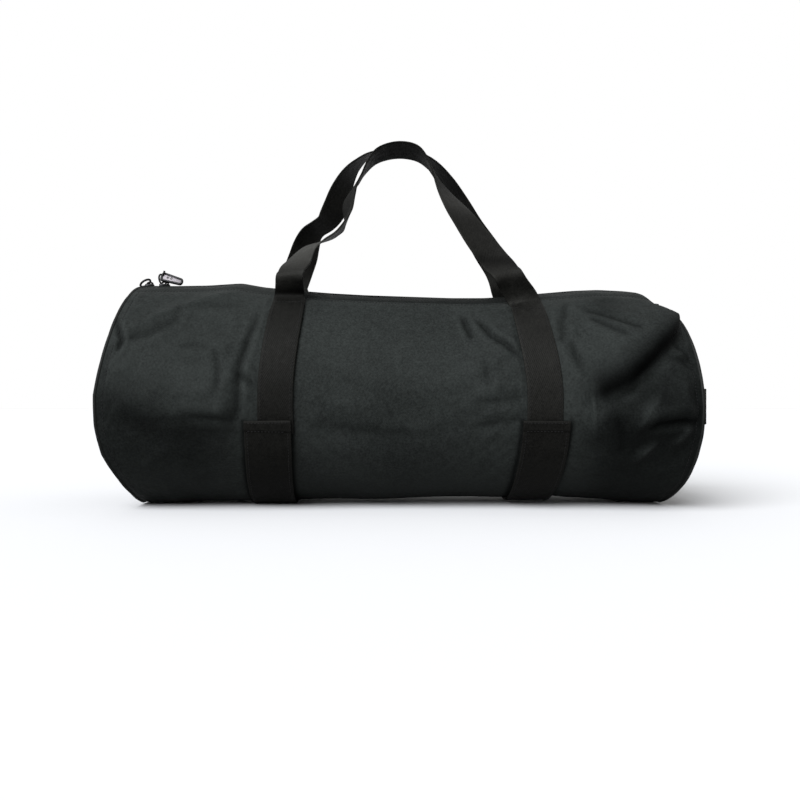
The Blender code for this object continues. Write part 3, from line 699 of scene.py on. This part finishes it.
def cloth_material(name, dark, light, weave, rough, specular, warm=0.0, dusty=0.3):
    """Woven cloth; weave holds the spacing of its threads both ways, and their height."""
    cloth = Recipe(name)
    cloudy, grain, fleck, soft = (cloth.noise(*how) for how in (
        (9.0, 4.0, 0.6), (480.0, 2.0, 0.7), (140.0, 3.0, 0.65), (55.0, 4.0, 0.6)))
    split = cloth.node("SeparateXYZ", {0: cloth.node("TexCoord", {})["UV"]})
    over, under = (cloth.node("Math", {0: cloth.times(split[k], math.pi / weave[k])},
                              operation="SINE")[0] for k in (0, 1))
    threads = cloth.plus(cloth.times(cloth.times(over, under), 0.5), 0.5)
    tone = cloth.plus(cloth.times(cloudy, 0.25), cloth.times(fleck, 0.25),
                      cloth.times(grain, 0.50))
    colour = cloth.ramp(tone, (0.40, grey(dark, warm)), (0.51, grey((dark + light) / 2, warm)),
                        (0.62, grey(light, warm)))
    # Edges and raised threads are rubbed paler.
    edges = cloth.ramp(cloth.node("NewGeometry", {})["Pointiness"], (0.50, grey(0)), (0.56, grey(1)))
    colour = cloth.mix(cloth.times(edges, cloth.times(fleck, dusty)), colour,
                       grey(light * 2.0, warm))
    colour = cloth.mix(0.55, colour, cloth.ramp(threads, (0.0, grey(0.62)), (1.0, grey(1.18))),
                       blend="MULTIPLY")
    # Above 0 the painted-shading value darkens the colour and dulls the specular as painted shade;
    # below 0 it pales the colour and raises the specular as a painted highlight.
    painted_shading = cloth.node("Attribute", {}, attribute_name="painted_shading")["Fac"]
    colour = cloth.mix(painted_shading, colour, grey(0.0002))
    colour = cloth.mix(cloth.times(painted_shading, -0.6), colour, grey(light * 2.4, warm))
    height = cloth.plus(cloth.times(threads, weave[2]), cloth.times(grain, weave[2] * 0.7),
                        cloth.times(soft, 0.0006))
    return cloth.finish(height, 0.8, 1.0, {
        "Base Color": colour,
        "Roughness": cloth.ramp(fleck, (0.3, grey(rough - 0.1)), (0.7, grey(rough + 0.08))),
        "Specular IOR Level": cloth.plus(cloth.times(painted_shading, -0.8 * specular), specular),
        "Specular Tint": grey(1.0, warm * 0.6)})


def metal_material(name, tint, rough):
    metal = Recipe(name)
    fine, wide = metal.noise(900.0, 3.0, 0.6), metal.noise(160.0, 3.0, 0.6)
    return metal.finish(fine, 0.35, 0.0001, {
        "Base Color": metal.ramp(wide, (0.35, (*(c * 0.62 for c in tint), 1)), (0.60, (*tint, 1))),
        "Roughness": metal.ramp(fine, (0.3, grey(rough)), (0.75, grey(rough + 0.22))),
        "Metallic": 1.0})


CANVAS_WEAVE = (0.0009, 0.0009, 0.00014)
TAPE_WEAVE = (0.0006, 0.0010, 0.00010)
WEB_WEAVE = (0.0011, 0.0021, 0.00022)
CANVAS = cloth_material("coated_canvas", 0.0060, 0.0140, CANVAS_WEAVE, 0.66, 0.035, -0.11)
PIPING = cloth_material("seam_cord_cloth", 0.0028, 0.0055, (0.0007, 0.0011, 0.00010), 0.64, 0.085,
                        -0.05)
BINDING = cloth_material("binding_tape", 0.0050, 0.0080, (0.0006, 0.0012, 0.00008), 0.75, 0.12)
TAPE = cloth_material("zip_tape_cloth", 0.0080, 0.0130, TAPE_WEAVE, 0.72, 0.14)
WEBBING = cloth_material("handle_webbing", 0.0010, 0.0048, WEB_WEAVE, 0.62, 0.06, 0.07, 0.5)
BAND = cloth_material("base_webbing", 0.0006, 0.0036, WEB_WEAVE, 0.66, 0.040, 0.07, 0.5)
THREAD = cloth_material("thread", 0.0024, 0.0050, (0.0003, 0.0003, 0.00003), 0.6, 0.08)
COIL = cloth_material("zip_coil_nylon", 0.0200, 0.0350, (0.0003, 0.0003, 0.00002), 0.38, 0.4)
# Nickel in two copies: near black, a painted dark reflection of shiny nickel, and paler on the pull
# tab's plate as a painted highlight.
METAL = metal_material("dark_nickel", (0.012, 0.012, 0.012), 0.26)
NICKEL_HIGHLIGHT = metal_material("nickel_painted_highlight", (0.085, 0.079, 0.082), 0.34)

# ---- the body panel ----
body = add_grid("body_shell", body_points, CANVAS, flip=True)
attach(body, "bag")
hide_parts("body_panel")
# Painted shade and painted highlights on the body, kept as a point attribute.
set_painted_shading(body, painted_shade_and_highlight(plain))
# The lining lies deeper where the shell is folded, away from the edges.
inside = FABRIC + 0.0040 * smooth(np.minimum(to_end, to_seam) / 0.030)
lining = add_grid("body_lining", (calm_points - calm_normals * inside[..., None])[::3, ::3], CANVAS)
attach(lining, "bag")

# ---- the zip and the panels beside it ----
ZIP_PANEL_COLS = 17
TUCK = ((-0.0006, -0.0009), (0.0010, -0.0014), (0.0060, -0.0013))   # the hem beside the zip
TAPE_X = (-0.3035, 0.3075)
TAPE_Y = (0.0036, 0.0046, 0.0056, 0.0085, 0.0120, 0.0160, 0.0195)
COIL_X, COIL_PITCH = (-0.2995, 0.3045), 0.0024
# Rings of one coil loop: how far from the zip's middle, half its width, half its height.
LOOP_RINGS = ((0.0046, 0.00050, 0.00075), (0.0030, 0.00055, 0.00095), (0.0008, 0.00055, 0.00095),
              (-0.0006, 0.00090, 0.00085), (-0.0012, 0.00060, 0.00045))
LOOP_ANGLES = [2 * math.pi * (k + 0.5) / 8 for k in range(8)]


def lip_weight(places):
    """A weight for the zip panels: 0 at both ends and along their sewn outer edge, rising to 1 in the
    middle near the zip.
    """
    x, y = places[:, 0], np.abs(places[:, 1])
    open_part = smooth((x + 0.252) / 0.085) * smooth((0.222 - x) / 0.085)
    return open_part * smooth((SEAM_Y + 0.002 - y) / 0.020)


def crown_surface(x, y):
    """Height of the zip panels' surface at x and y, before any waves."""
    wide, top, low = half_width(x), crown(x), base(x)
    tall = (top - low) / 2
    return (top + low) / 2 + tall * np.sqrt(np.maximum(1 - (y / wide) ** 2, 0))


def zip_height(x):
    return crown(x) - 0.0026


def zip_panel(hand, word):
    """The strip of canvas from the body's seam to the zip, its edge folded under."""
    share = np.linspace(0, 1, ALONG)[:, None]
    across = np.linspace(0, 1, ZIP_PANEL_COLS)[None, :]
    y = hand * (SEAM_Y + (ZIP_EDGE_Y - SEAM_Y) * across) + 0 * share
    turn = np.arcsin(np.abs(y) / 0.128)
    x = ring_x(turn, -1) + (ring_x(turn, 1) - ring_x(turn, -1)) * share
    seam_side = body_points[:, 0] if hand < 0 else body_points[:, -1]
    x[:, 0] = seam_side[:, 0]
    wave = noise_field(np.stack([x, y * 0.7, 0 * x], -1), 0.034, 5.0 + hand)
    fine = noise_field(np.stack([x, y * 0.3, 0 * x], -1), 0.012, 9.0 + hand)
    z = crown_surface(x, y) + ((0.0014 * wave + 0.0005 * fine) * np.sin(across * math.pi) ** 0.7
                               - 0.0010 * hump(across, 0.1))
    z[:, 0] = seam_side[:, 2] + 0.0003
    points = np.stack([x, y, z], -1)
    hem = [points[:, -1:] + np.array([0, hand * in_y, down]) for in_y, down in TUCK]
    panel = add_grid(f"{word}_zip_panel", np.concatenate([points, *hem], axis=1), CANVAS,
                     thick=0.0012, flip=hand > 0)
    x = places_of(panel)[:, 0]
    # Painted shade along the zip panels, strongest along their middle stretch.
    set_painted_shading(panel, 0.22 + 0.33 * smooth((x + 0.11) / 0.08) * smooth((0.19 - x) / 0.05))
    return panel


def zip_tape(hand, word):
    """Woven tape, with a slight rib where the coil is sewn on."""
    x = np.linspace(*TAPE_X, 261)[:, None]
    y = np.array(TAPE_Y)[None, :]
    z = (zip_height(x) - 0.0002 + 0.0003 * hump(y - TAPE_Y[1], 0.0007)
         - 0.0008 * smooth((y - 0.009) / 0.004))
    return add_grid(f"{word}_zip_tape_cloth", np.stack(np.broadcast_arrays(x, hand * y, z), -1), TAPE,
                    thick=0.0007, flip=hand > 0)


def zip_coil(hand, word):
    """Nylon loops, each a little past the middle, between those of the other side."""
    points, faces = [], []
    for k in range(int((COIL_X[1] - COIL_X[0]) / COIL_PITCH)):
        x = COIL_X[0] + (k + (0.5 if hand > 0 else 0.0)) * COIL_PITCH
        z = float(zip_height(x)) + 0.0007
        faces += stack_faces(len(LOOP_RINGS), len(LOOP_ANGLES), len(points))
        points += [(x + half_x * math.cos(a), hand * reach, z + half_z * math.sin(a))
                   for reach, half_x, half_z in LOOP_RINGS for a in LOOP_ANGLES]
    return outward(add_mesh(f"{word}_zip_coil", points, faces, COIL))


for hand, word in ((-1, "front"), (1, "rear")):
    panel, tape, coil = (make(hand, word) for make in (zip_panel, zip_tape, zip_coil))
    for piece in (panel, tape, coil):
        blend_by(piece, lip_weight)
    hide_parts(f"{word}_mouth_panel", "left_crown_panel", "right_crown_panel")
    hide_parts(f"{word}_zip_tape", "left_zip_end", "right_zip_end")
    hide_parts(f"{word}_zip_teeth")

# ---- ends ----
CORD_RADIUS, CORD_SIDES = 0.0019, 12
BINDING_ROW = ((0.003, -0.0045), (0.006, -0.0052), (0.010, -0.0050), (0.014, -0.0040))
lap_turns = np.linspace(0, 2 * math.pi, 181)


def end_cap(side, word, seam, centre):
    """A round of canvas, domed outwards, that sags at its foot and ripples at its rim."""
    radius = np.concatenate([np.linspace(1.0, 0.90, 7), np.linspace(0.87, 0.0, 22)])[:, None]
    points = centre + (seam - centre) * radius[..., None]
    sag = 0.0035 * smooth((0.13 - points[..., 2]) / 0.13) * (1 - radius ** 2)
    points[..., 0] += side * (0.0085 * (1 - radius ** 2) * (1 - radius ** 6) + sag)
    wave = noise_field(points, 0.060, 11.0 + side)
    fine = noise_field(points, 0.020, 4.0 + side)
    round_rim = lap_turns[None] * 0.127 + 0 * radius
    rim = noise_field(np.stack([round_rim, 0 * round_rim, 0 * round_rim], -1), 0.012, 2.0 + side)
    rim[:, -1] = rim[:, 0]
    points[..., 0] += side * ((0.0022 * wave + 0.0007 * fine) * (1 - radius ** 8) + 0.0014 * rim
                              * hump(1 - radius, 0.07) * (1 - radius ** 40) - 0.0012)
    return add_grid(f"{word}_end_cap", points, CANVAS, thick=FABRIC, flip=side > 0,
                    uvs=points[..., [1, 2]])


def seam_cord(side, word, seam, outs):
    """The covered cord in the end seam."""
    wobble = np.array([1 + 0.10 * noise.noise(Vector((turn * 9, side, 0)))
                       for turn in lap_turns[:-1]])[:, None, None]
    middles = seam[:-1] + np.array([side * 0.0004, 0, 0]) - outs[:-1] * 0.0006
    middles[:, 2] = np.maximum(middles[:, 2], 0.0030)
    angle = 2 * math.pi * np.arange(CORD_SIDES)[:, None] / CORD_SIDES
    points = middles[:, None] + (np.array([side, 0, 0]) * np.cos(angle)
                                 + outs[:-1, None] * np.sin(angle)) * CORD_RADIUS * wobble
    uvs = np.stack(np.broadcast_arrays(np.arange(len(middles))[:, None] * 0.0045,
                                       np.arange(CORD_SIDES)[None] * 0.0013), -1)
    faces = grid_faces(*points.shape[:2], round_cols=True, round_rows=True)
    return outward(add_mesh(f"{word}_seam_cord", points, faces, PIPING, uvs))


for side, word in ((-1, "left"), (1, "right")):
    seam = np.array([section(ring_x(turn, side), turn) for turn in lap_turns])
    centre = seam[:-1].mean(0)
    outs = unit(seam - centre)
    cap = end_cap(side, word, seam, centre)
    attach(cap, "bag")
    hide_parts(f"{word}_end_panel")
    cord = seam_cord(side, word, seam, outs)
    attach(cord, "bag")
    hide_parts(f"{word}_piping")
    # Binding tape over the raw edge inside.
    rows = np.stack([seam + np.array([-side * depth, 0, 0]) + outs * out
                     for depth, out in BINDING_ROW], 1)
    tape = add_grid(f"{word}_inside_binding", rows, BINDING, thick=0.0008, offset=0.0)
    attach(tape, "bag")
    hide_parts(f"{word}_seam_binding")

# ---- webbing ----
WEB_WIDE, BASE_WIDE, WEB_THICK = 0.038, 0.050, 0.0021
FOOT_Y, FOOT_Z = 0.0585, 0.2475                  # where a loop's feet stand
BAND_TOP = 0.1000                                # how high the base bands reach

# Stations along each loop from left to right: x, z and how far its face is rolled, in degrees.
FRONT_HANDLE = [
    (-0.1265, FOOT_Z, 0), (-0.1195, 0.2706, 28), (-0.1060, 0.2925, 50), (-0.0900, 0.3030, 67),
    (-0.0775, 0.3095, 73), (-0.0700, 0.3160, 77), (-0.0635, 0.3240, 80), (-0.0597, 0.3360, 73),
    (-0.0592, 0.3540, 65), (-0.0545, 0.3680, 71), (-0.0475, 0.3790, 77), (-0.0400, 0.3940, 81),
    (-0.0266, 0.4095, 87), (-0.0036, 0.4165, 90), (0.0190, 0.4130, 89), (0.0330, 0.4000, 82),
    (0.0430, 0.3825, 71), (0.0540, 0.3610, 54), (0.0655, 0.3430, 40), (0.0770, 0.3265, 31),
    (0.0895, 0.3070, 24), (0.1035, 0.2870, 16), (0.1150, 0.2690, 8), (0.1285, FOOT_Z, 0),
]
REAR_HANDLE = [
    (-0.1370, FOOT_Z, 0), (-0.1280, 0.2822, 14), (-0.1215, 0.3000, 24), (-0.1175, 0.3130, 34),
    (-0.1115, 0.3265, 48), (-0.1030, 0.3345, 58), (-0.0925, 0.3415, 55), (-0.0860, 0.3500, 46),
    (-0.0795, 0.3620, 42), (-0.0732, 0.3790, 50), (-0.0640, 0.3975, 64), (-0.0530, 0.4110, 77),
    (-0.0346, 0.4235, 88), (-0.0037, 0.4283, 90), (0.0190, 0.4240, 86), (0.0400, 0.4100, 74),
    (0.0580, 0.3880, 62), (0.0745, 0.3620, 53), (0.0900, 0.3360, 45), (0.1085, 0.3085, 30),
    (0.1260, 0.2820, 12), (0.1325, FOOT_Z, 0),
]
TOP_Y = {-1: -0.0150, 1: 0.0250}                 # how far each loop leans in at its top
LEAVE_Z = (0.2375, 0.2300)                       # where each foot leaves the barrel
STITCH_IN, BASE_STITCH_IN = 0.0032, 0.0034       # how far in from the webbing's edge
# Painted shade and painted highlights on the front handle: which leg, height, reach, how dark (below
# 0 a painted highlight).
FRONT_HANDLE_PAINTED_LIGHT = ((-1, 0.2435, 0.0060, 0.85), (1, 0.279, 0.009, 0.60), (-1, 0.293, 0.019, -1.3),
              (1, 0.350, 0.013, -0.6))
WEB_SHAPE = web_profile(WEB_WIDE, WEB_THICK)
BASE_SHAPE = web_profile(BASE_WIDE, WEB_THICK, 16)
HEM_SHAPE = web_profile(BASE_WIDE, 0.0010, 16)


def spline(points, steps_each):
    """Catmull-Rom through rows of numbers."""
    rows = [np.asarray(p, float) for p in points]
    rows = [2 * rows[0] - rows[1], *rows, 2 * rows[-1] - rows[-2]]
    made = []
    for a, b, c, d in zip(rows, rows[1:], rows[2:], rows[3:]):
        for t in np.arange(steps_each) / steps_each:
            made.append(0.5 * (2 * b + (c - a) * t + (2 * a - 5 * b + 4 * c - d) * t * t
                               + (3 * b - a - 3 * c + d) * t ** 3))
    made.append(rows[-2])
    return np.array(made)


def handle_path(stations, hand):
    """Centres and across directions of one loop, from the left foot to the right."""
    top_z = max(z for _, z, _ in stations)
    lean = (TOP_Y[hand] - hand * FOOT_Y) / (top_z - FOOT_Z)
    marks = spline([(x, hand * FOOT_Y + (z - FOOT_Z) * lean, z, roll)
                    for x, z, roll in stations], 6)
    plane = unit(np.array([0, 1, -lean]))
    tangents = unit(np.gradient(marks[:, :3], axis=0))
    inner = unit(np.cross(plane, tangents))
    rise = smooth((marks[:, 2:3] - FOOT_Z) / 0.030)
    level = np.copysign(1.0, inner[:, :1]) * np.array([[1.0, 0, 0]])
    inner = unit(level * (1 - rise) + inner * rise)
    roll = np.radians(marks[:, 3:])
    return marks[:, :3], unit(inner * np.cos(roll) + plane * hand * np.sin(roll))


def strap_path(i, hand):
    """Points and normals up one sewn run, from under the base band to where it leaves."""
    turn = np.linspace(turn_for_z(strap_x(i, BAND_TOP), BAND_TOP - 0.014),
                       turn_for_z(strap_x(i, LEAVE_Z[i]), LEAVE_Z[i]), 60)
    x = strap_x(i, section(strap_x(i, 0.2), turn)[:, 2])
    lap = turn if hand < 0 else 2 * math.pi - turn
    return [on_body(*place, 0.0006 + WEB_THICK / 2) for place in zip(x, lap)]


def gathered(z):
    """The webbing is drawn in where it turns up off the barrel."""
    return 1 - 0.16 * hump(z - 0.255, 0.024)


def handle_webbing(hand, word, stations, straps):
    """One run of webbing: up the left strap, round the loop and down the right strap."""
    path, wides = (part[2:-2] for part in handle_path(stations, hand))
    left, right = ([point for point, _ in strap] for strap in straps)
    path = np.concatenate([left, path, right[::-1]])
    wides = np.concatenate([[[1.0, 0, 0]] * len(left), wides, [[-1.0, 0, 0]] * len(right)])
    # Even steps along the line, then a little softening where the foot turns upright.
    run = run_along(path)
    even = np.linspace(0, run[-1], int(run[-1] / 0.0026))
    path, wides = (read_line(even, run, part) for part in (path, wides))
    lean = hump(path[:, 2] - 0.261, 0.014)
    path[:, 1] += (-0.0190 if hand < 0 else -0.0030) * lean
    near_foot = hump(path[:, 2:] - 0.243, 0.018)
    path = path * (1 - near_foot) + softened(path, 3.0) * near_foot
    tangents = unit(np.gradient(path, axis=0))
    wides = unit(wides - tangents * np.sum(wides * tangents, 1, keepdims=True))
    outs = unit(np.cross(wides, tangents)) * -hand
    return sweep(f"{word}_handle_webbing", path, wides * gathered(path[:, 2:]), outs, WEB_SHAPE,
                 WEBBING)


def handle_shade_and_highlight(hand, x, z):
    """Painted shade on a handle, above 0, and painted highlights, below 0."""
    left = smooth(0.5 - x / 0.05)
    right = 1 - left
    painted_light = 0.32 * left * (1 - smooth((z - 0.23) / 0.02)) + 0.50 * right * smooth((z - 0.362) / 0.015)
    if hand < 0:
        painted_light += 0.50 * left * smooth((z - 0.315) / 0.03)
        for leg, height, reach, change in FRONT_HANDLE_PAINTED_LIGHT:
            painted_light += change * (left if leg < 0 else right) * hump(z - height, reach)
    return np.clip(painted_light, -1.5, 0.95)


stitch_rows = []
for hand, word, stations in ((-1, "front", FRONT_HANDLE), (1, "rear", REAR_HANDLE)):
    straps = [strap_path(i, hand) for i in (0, 1)]
    webbing = handle_webbing(hand, word, stations, straps)
    places = places_of(webbing)
    # Painted shade and painted highlights on the handle webbing.
    set_painted_shading(webbing, handle_shade_and_highlight(hand, places[:, 0], places[:, 2]))
    blend_by(webbing, lambda places: smooth((places[:, 2] - 0.238) / 0.018))
    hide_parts(f"{word}_handle", f"{word}_left_strap", f"{word}_right_strap")
    for strap in straps:
        raised = [(point + normal * (WEB_THICK / 2), normal,
                   (WEB_WIDE / 2 - STITCH_IN) * float(gathered(point[2])))
                  for point, normal in strap]
        for edge in (-1, 1):
            stitch_rows.append([(point + np.array([edge * half, 0, 0]), normal)
                                for point, normal, half in raised])
        # The bars of stitches across the foot.
        for point, normal, half in (raised[-3], raised[-7]):
            stitch_rows.append([(point + np.array([a, 0, 0]), normal)
                                for a in np.linspace(-half, half, 12)])


def base_band(high, low):
    """Points, across and out directions of a band, from its front hem to its rear one."""
    start = turn_for_z(high, BAND_TOP)
    lap = np.linspace(start, 2 * math.pi - start, 150)
    from_hem = np.minimum(np.minimum(lap - start, 2 * math.pi - start - lap) / 1.2, 1.0)
    x = high + (low - high) * (0.5 - 0.5 * np.cos(math.pi * from_hem))
    path = np.array([on_body(*place, 0.0030 + WEB_THICK / 2)[0] for place in zip(x, lap)])
    path[:, 2] = np.maximum(path[:, 2], WEB_THICK / 2 + 0.0002)
    tangents = unit(np.gradient(path, axis=0))
    wides = unit(np.array([[1.0, 0, 0]]) - tangents * tangents[:, :1])
    outs = unit(np.cross(tangents, wides))
    facing = np.sum(outs * np.array([on_body(low, turn, 0)[1] for turn in lap]), 1)
    return path, wides, outs * np.sign(facing)[:, None]


for (high, low), word in zip(BANDS, ("left", "right")):
    path, wides, outs = base_band(high, low)
    band = sweep(f"{word}_base_webbing", path, wides, outs, BASE_SHAPE, BAND)
    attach(band, "bag")
    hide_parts(f"{word}_base_band")
    for end_word, piece in (("front", slice(0, 6)), ("rear", slice(-6, None))):
        centre = path[piece] + outs[piece] * (WEB_THICK / 2 + 0.0003)
        hem = sweep(f"{word}_{end_word}_base_hem", centre, wides[piece], outs[piece], HEM_SHAPE, BAND)
        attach(hem, "bag")
    half = BASE_WIDE / 2 - BASE_STITCH_IN
    for edge in (-half, half):
        stitch_rows.append([*zip(path + wides * edge + outs * WEB_THICK / 2, outs)])
    for at in (1, 5, -2, -6):
        bar = path[at] + outs[at] * (WEB_THICK / 2 + 0.0008)
        stitch_rows.append([(bar + wides[at] * a, outs[at]) for a in np.linspace(-half, half, 14)])

# ---- the grab handle across the right end ----
GRAB_Z, GRAB_X, GRAB_HALF, GRAB_BOW = 0.114, 0.3235, 0.1235, 0.020
grab_y = np.linspace(-1, 1, 141) * GRAB_HALF
bow = GRAB_BOW * np.cos(np.clip(grab_y / 0.104, -1, 1) * math.pi / 2) ** 0.8
grab_x = GRAB_X + 0.0030 * (1 - (grab_y / GRAB_HALF) ** 2) + bow
path = softened(np.stack([grab_x, grab_y, 0 * grab_y + GRAB_Z], -1), 2.5)
wides = np.repeat([[0.0, 0, 1.0]], len(path), 0)
outs = unit(np.cross(unit(np.gradient(path, axis=0)), wides))
grab = sweep("grab_webbing", path, wides, outs, WEB_SHAPE, WEBBING)
blend_by(grab, lambda p: smooth((0.100 - np.abs(p[:, 1])) / 0.030))
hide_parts("grab_handle")

# ---- seam stitching ----
for side in (-1, 1):
    stitch_rows.append([on_body(float(ring_x(turn, side)) - side * 0.008, turn, 0.0001, calm=False)
                        for turn in np.linspace(0.46, 2 * math.pi - 0.46, 150)])
for hand in (-1, 1):
    row = []
    for x in np.linspace(-0.298, 0.300, 180):
        turn = float(seam_turn(x)) + 0.030
        row.append(on_body(x, turn if hand < 0 else 2 * math.pi - turn, 0.0001, calm=False))
    stitch_rows.append(row)
stitches = stitch_mesh("seam_stitches", stitch_rows, THREAD)
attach(stitches, "bag")


# ---- metal ----
WIRE_SIDES = 12


def tube(name, middles, radius, closed=False):
    """A round wire along a line of points."""
    middles = np.asarray(middles, float)
    along = unit(np.roll(middles, -1, 0) - np.roll(middles, 1, 0) if closed
                 else np.gradient(middles, axis=0))
    across = unit(np.cross(along, np.array([0.31, 0.52, 0.79])))      # never along a wire here
    angle = 2 * math.pi * np.arange(WIRE_SIDES)[:, None] / WIRE_SIDES
    points = middles[:, None] + radius * (across[:, None] * np.cos(angle)
                                          + np.cross(along, across)[:, None] * np.sin(angle))
    faces = (grid_faces(*points.shape[:2], round_cols=True, round_rows=True) if closed
             else stack_faces(*points.shape[:2]))
    return outward(add_mesh(name, points, faces, METAL))


def wire_ring(name, middle, along, across, radius):
    turn = np.linspace(0, 2 * math.pi, 48, endpoint=False)[:, None]
    return tube(name, (np.array(middle) + np.cos(turn) * np.array(along)
                       + np.sin(turn) * np.array(across)), radius, closed=True)


def plate(name, outlines, place, thick, material=METAL):
    """A flat plate with holes: outlines in its own x and y, put in place by a function."""
    bm = bmesh.new()
    for outline in outlines:
        verts = [bm.verts.new((a, b, 0)) for a, b in outline]
        for v, w in zip(verts, verts[1:] + verts[:1]):
            bm.edges.new((v, w))
    bmesh.ops.triangle_fill(bm, edges=bm.edges[:], use_beauty=True)
    bm.verts.index_update()
    points = [place(v.co.x, v.co.y) for v in bm.verts]
    faces = [[v.index for v in face.verts] for face in bm.faces]
    bm.free()
    obj = outward(add_mesh(name, points, faces, material))
    obj.data.shade_flat()
    thickened(obj, thick, 0)
    bevel = obj.modifiers.new("edges", "BEVEL")
    bevel.width = thick * 0.25
    bevel.segments = 2
    return obj


def tapered(long, first, last):
    """A rounded outline along x, with its half width at each end."""
    made = []
    for at, half, blunt, start in ((long, last, 0.6, -0.5), (0.0, first, 0.3, 0.5)):
        for a in (math.pi * (start + k / 12) for k in range(13)):
            made.append((at + blunt * half * math.cos(a), half * math.sin(a)))
    return made


def circle(a, b, radius):
    return [(a + radius * math.cos(2 * math.pi * k / 20), b + radius * math.sin(2 * math.pi * k / 20))
            for k in range(20)]


SLIDERS = {"left": (-0.3000, 0.85), "right": (-0.2820, 1.0)}     # x, and size beside the CAD
PLATE_Z = 0.2580
# One side of a slider's plate, from the notch in its mouth to its nose.
PLATE_SIDE = [(-0.0050, 0.0), (-0.0062, 0.0034), (-0.0056, 0.0048), (-0.0010, 0.0052),
              (0.0030, 0.0046), (0.0058, 0.0026)]
PLATE = [(a, -b) for a, b in PLATE_SIDE[1:]] + [(0.0062, 0.0)] + PLATE_SIDE[::-1]
ARCH_LONG, ARCH_HIGH = 0.0040, 0.0038
for word, (slider_x, size) in SLIDERS.items():
    top = plate(f"{word}_slider_top", [PLATE],
                lambda a, b: (slider_x + size * a, size * b, PLATE_Z + 0.10 * abs(b)), 0.0030)
    arch = [(slider_x - ARCH_LONG * size * math.cos(a), 0,
             PLATE_Z + 0.0008 + ARCH_HIGH * size * math.sin(a) ** 0.6)
            for a in (math.pi * k / 20 for k in range(21))]
    bridge = tube(f"{word}_slider_bridge", arch, 0.0011)
    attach(top, f"{word}_slider")
    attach(bridge, f"{word}_slider")
    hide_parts(f"{word}_slider_bail")
    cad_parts[f"{word}_slider_body"].material_slots[0].material = METAL

ring = wire_ring("left_ring_wire", (-0.3055, 0, 0.2612), (-0.0055, 0, -0.0036),
                 (0.0010, 0.0040, -0.0018), 0.0013)
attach(ring, "left_ring")
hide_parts("left_pull_ring")
link = wire_ring("right_link_wire", (-0.2850, 0, 0.2651), (-0.0021, 0, 0.0065),
                 (0.0029, 0.0026, 0.0010), 0.0011)
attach(link, "right_link")
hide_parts("right_pull_link")

TAB_START = np.array([-0.2842, 0, 0.2688])
TAB_ALONG = unit(np.array([0.0226, 0.0, -0.0066]))
TAB_ACROSS = unit(np.array([0.20, 0.35, 0.90]))
TAB_LUG = [(-0.2842, 0, 0.2700), (-0.2833, 0, 0.2730), (-0.2826, 0, 0.2760)]
TAB_OUTLINE = tapered(0.0215, 0.0046, 0.0032)
TAB_HOLES = [circle(a, b, 0.0012) for a, b in ((0.0058, 0.0002), (0.0103, 0.0006))]


def on_tab(a, b):
    return tuple(TAB_START + TAB_ALONG * a + TAB_ACROSS * b)


# The tab's plate is the paler copy of the nickel, a painted highlight, with a near-black rim round
# it.
tab = plate("right_tab_plate", [TAB_OUTLINE, *TAB_HOLES], on_tab, 0.0012, NICKEL_HIGHLIGHT)
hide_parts("right_pull_tab")
tab_parts = [tab, tube("right_tab_rim", [on_tab(*p) for p in TAB_OUTLINE], 0.0016, closed=True),
             tube("right_tab_lug", TAB_LUG, 0.0012)]
for k, hole in enumerate(TAB_HOLES):
    tab_parts.append(tube(f"right_tab_eyelet_{k + 1}", [on_tab(*p) for p in hole], 0.0007,
                          closed=True))
for part in tab_parts:
    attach(part, "right_tab")

# ---- studio ----
pale = Recipe("pale_floor")
pale.feed(pale.nodes["Principled BSDF"], {"Base Color": (0.36, 0.36, 0.36, 1), "Roughness": 0.95,
                                          "Specular IOR Level": 0.1})
floor_mesh = bpy.data.meshes.new("floor")
floor_mesh.from_pydata([(-9, -9, 0), (9, -9, 0), (9, 9, 0), (-9, 9, 0)], [], [(0, 1, 2, 3)])
floor_mesh.materials.append(pale.material)
floor = bpy.data.objects.new("floor", floor_mesh)
bpy.context.scene.collection.objects.link(floor)

world = bpy.data.worlds.new("studio")
world.use_nodes = True
world.node_tree.nodes["Background"].inputs["Color"].default_value = (1, 1, 1, 1)
world.node_tree.nodes["Background"].inputs["Strength"].default_value = 1.0
bpy.context.scene.world = world

sky_data = bpy.data.lights.new("soft_sky", "SUN")
sky_data.energy = 9.0
sky_data.angle = math.radians(50)
sky_data.color = (0.98, 1.0, 1.045)
sky = bpy.data.objects.new("soft_sky", sky_data)
sky.rotation_euler = Vector((0.46, 0.76, -0.74)).to_track_quat("-Z", "Y").to_euler()
bpy.context.scene.collection.objects.link(sky)
bpy.context.scene.view_settings.view_transform = "Standard"
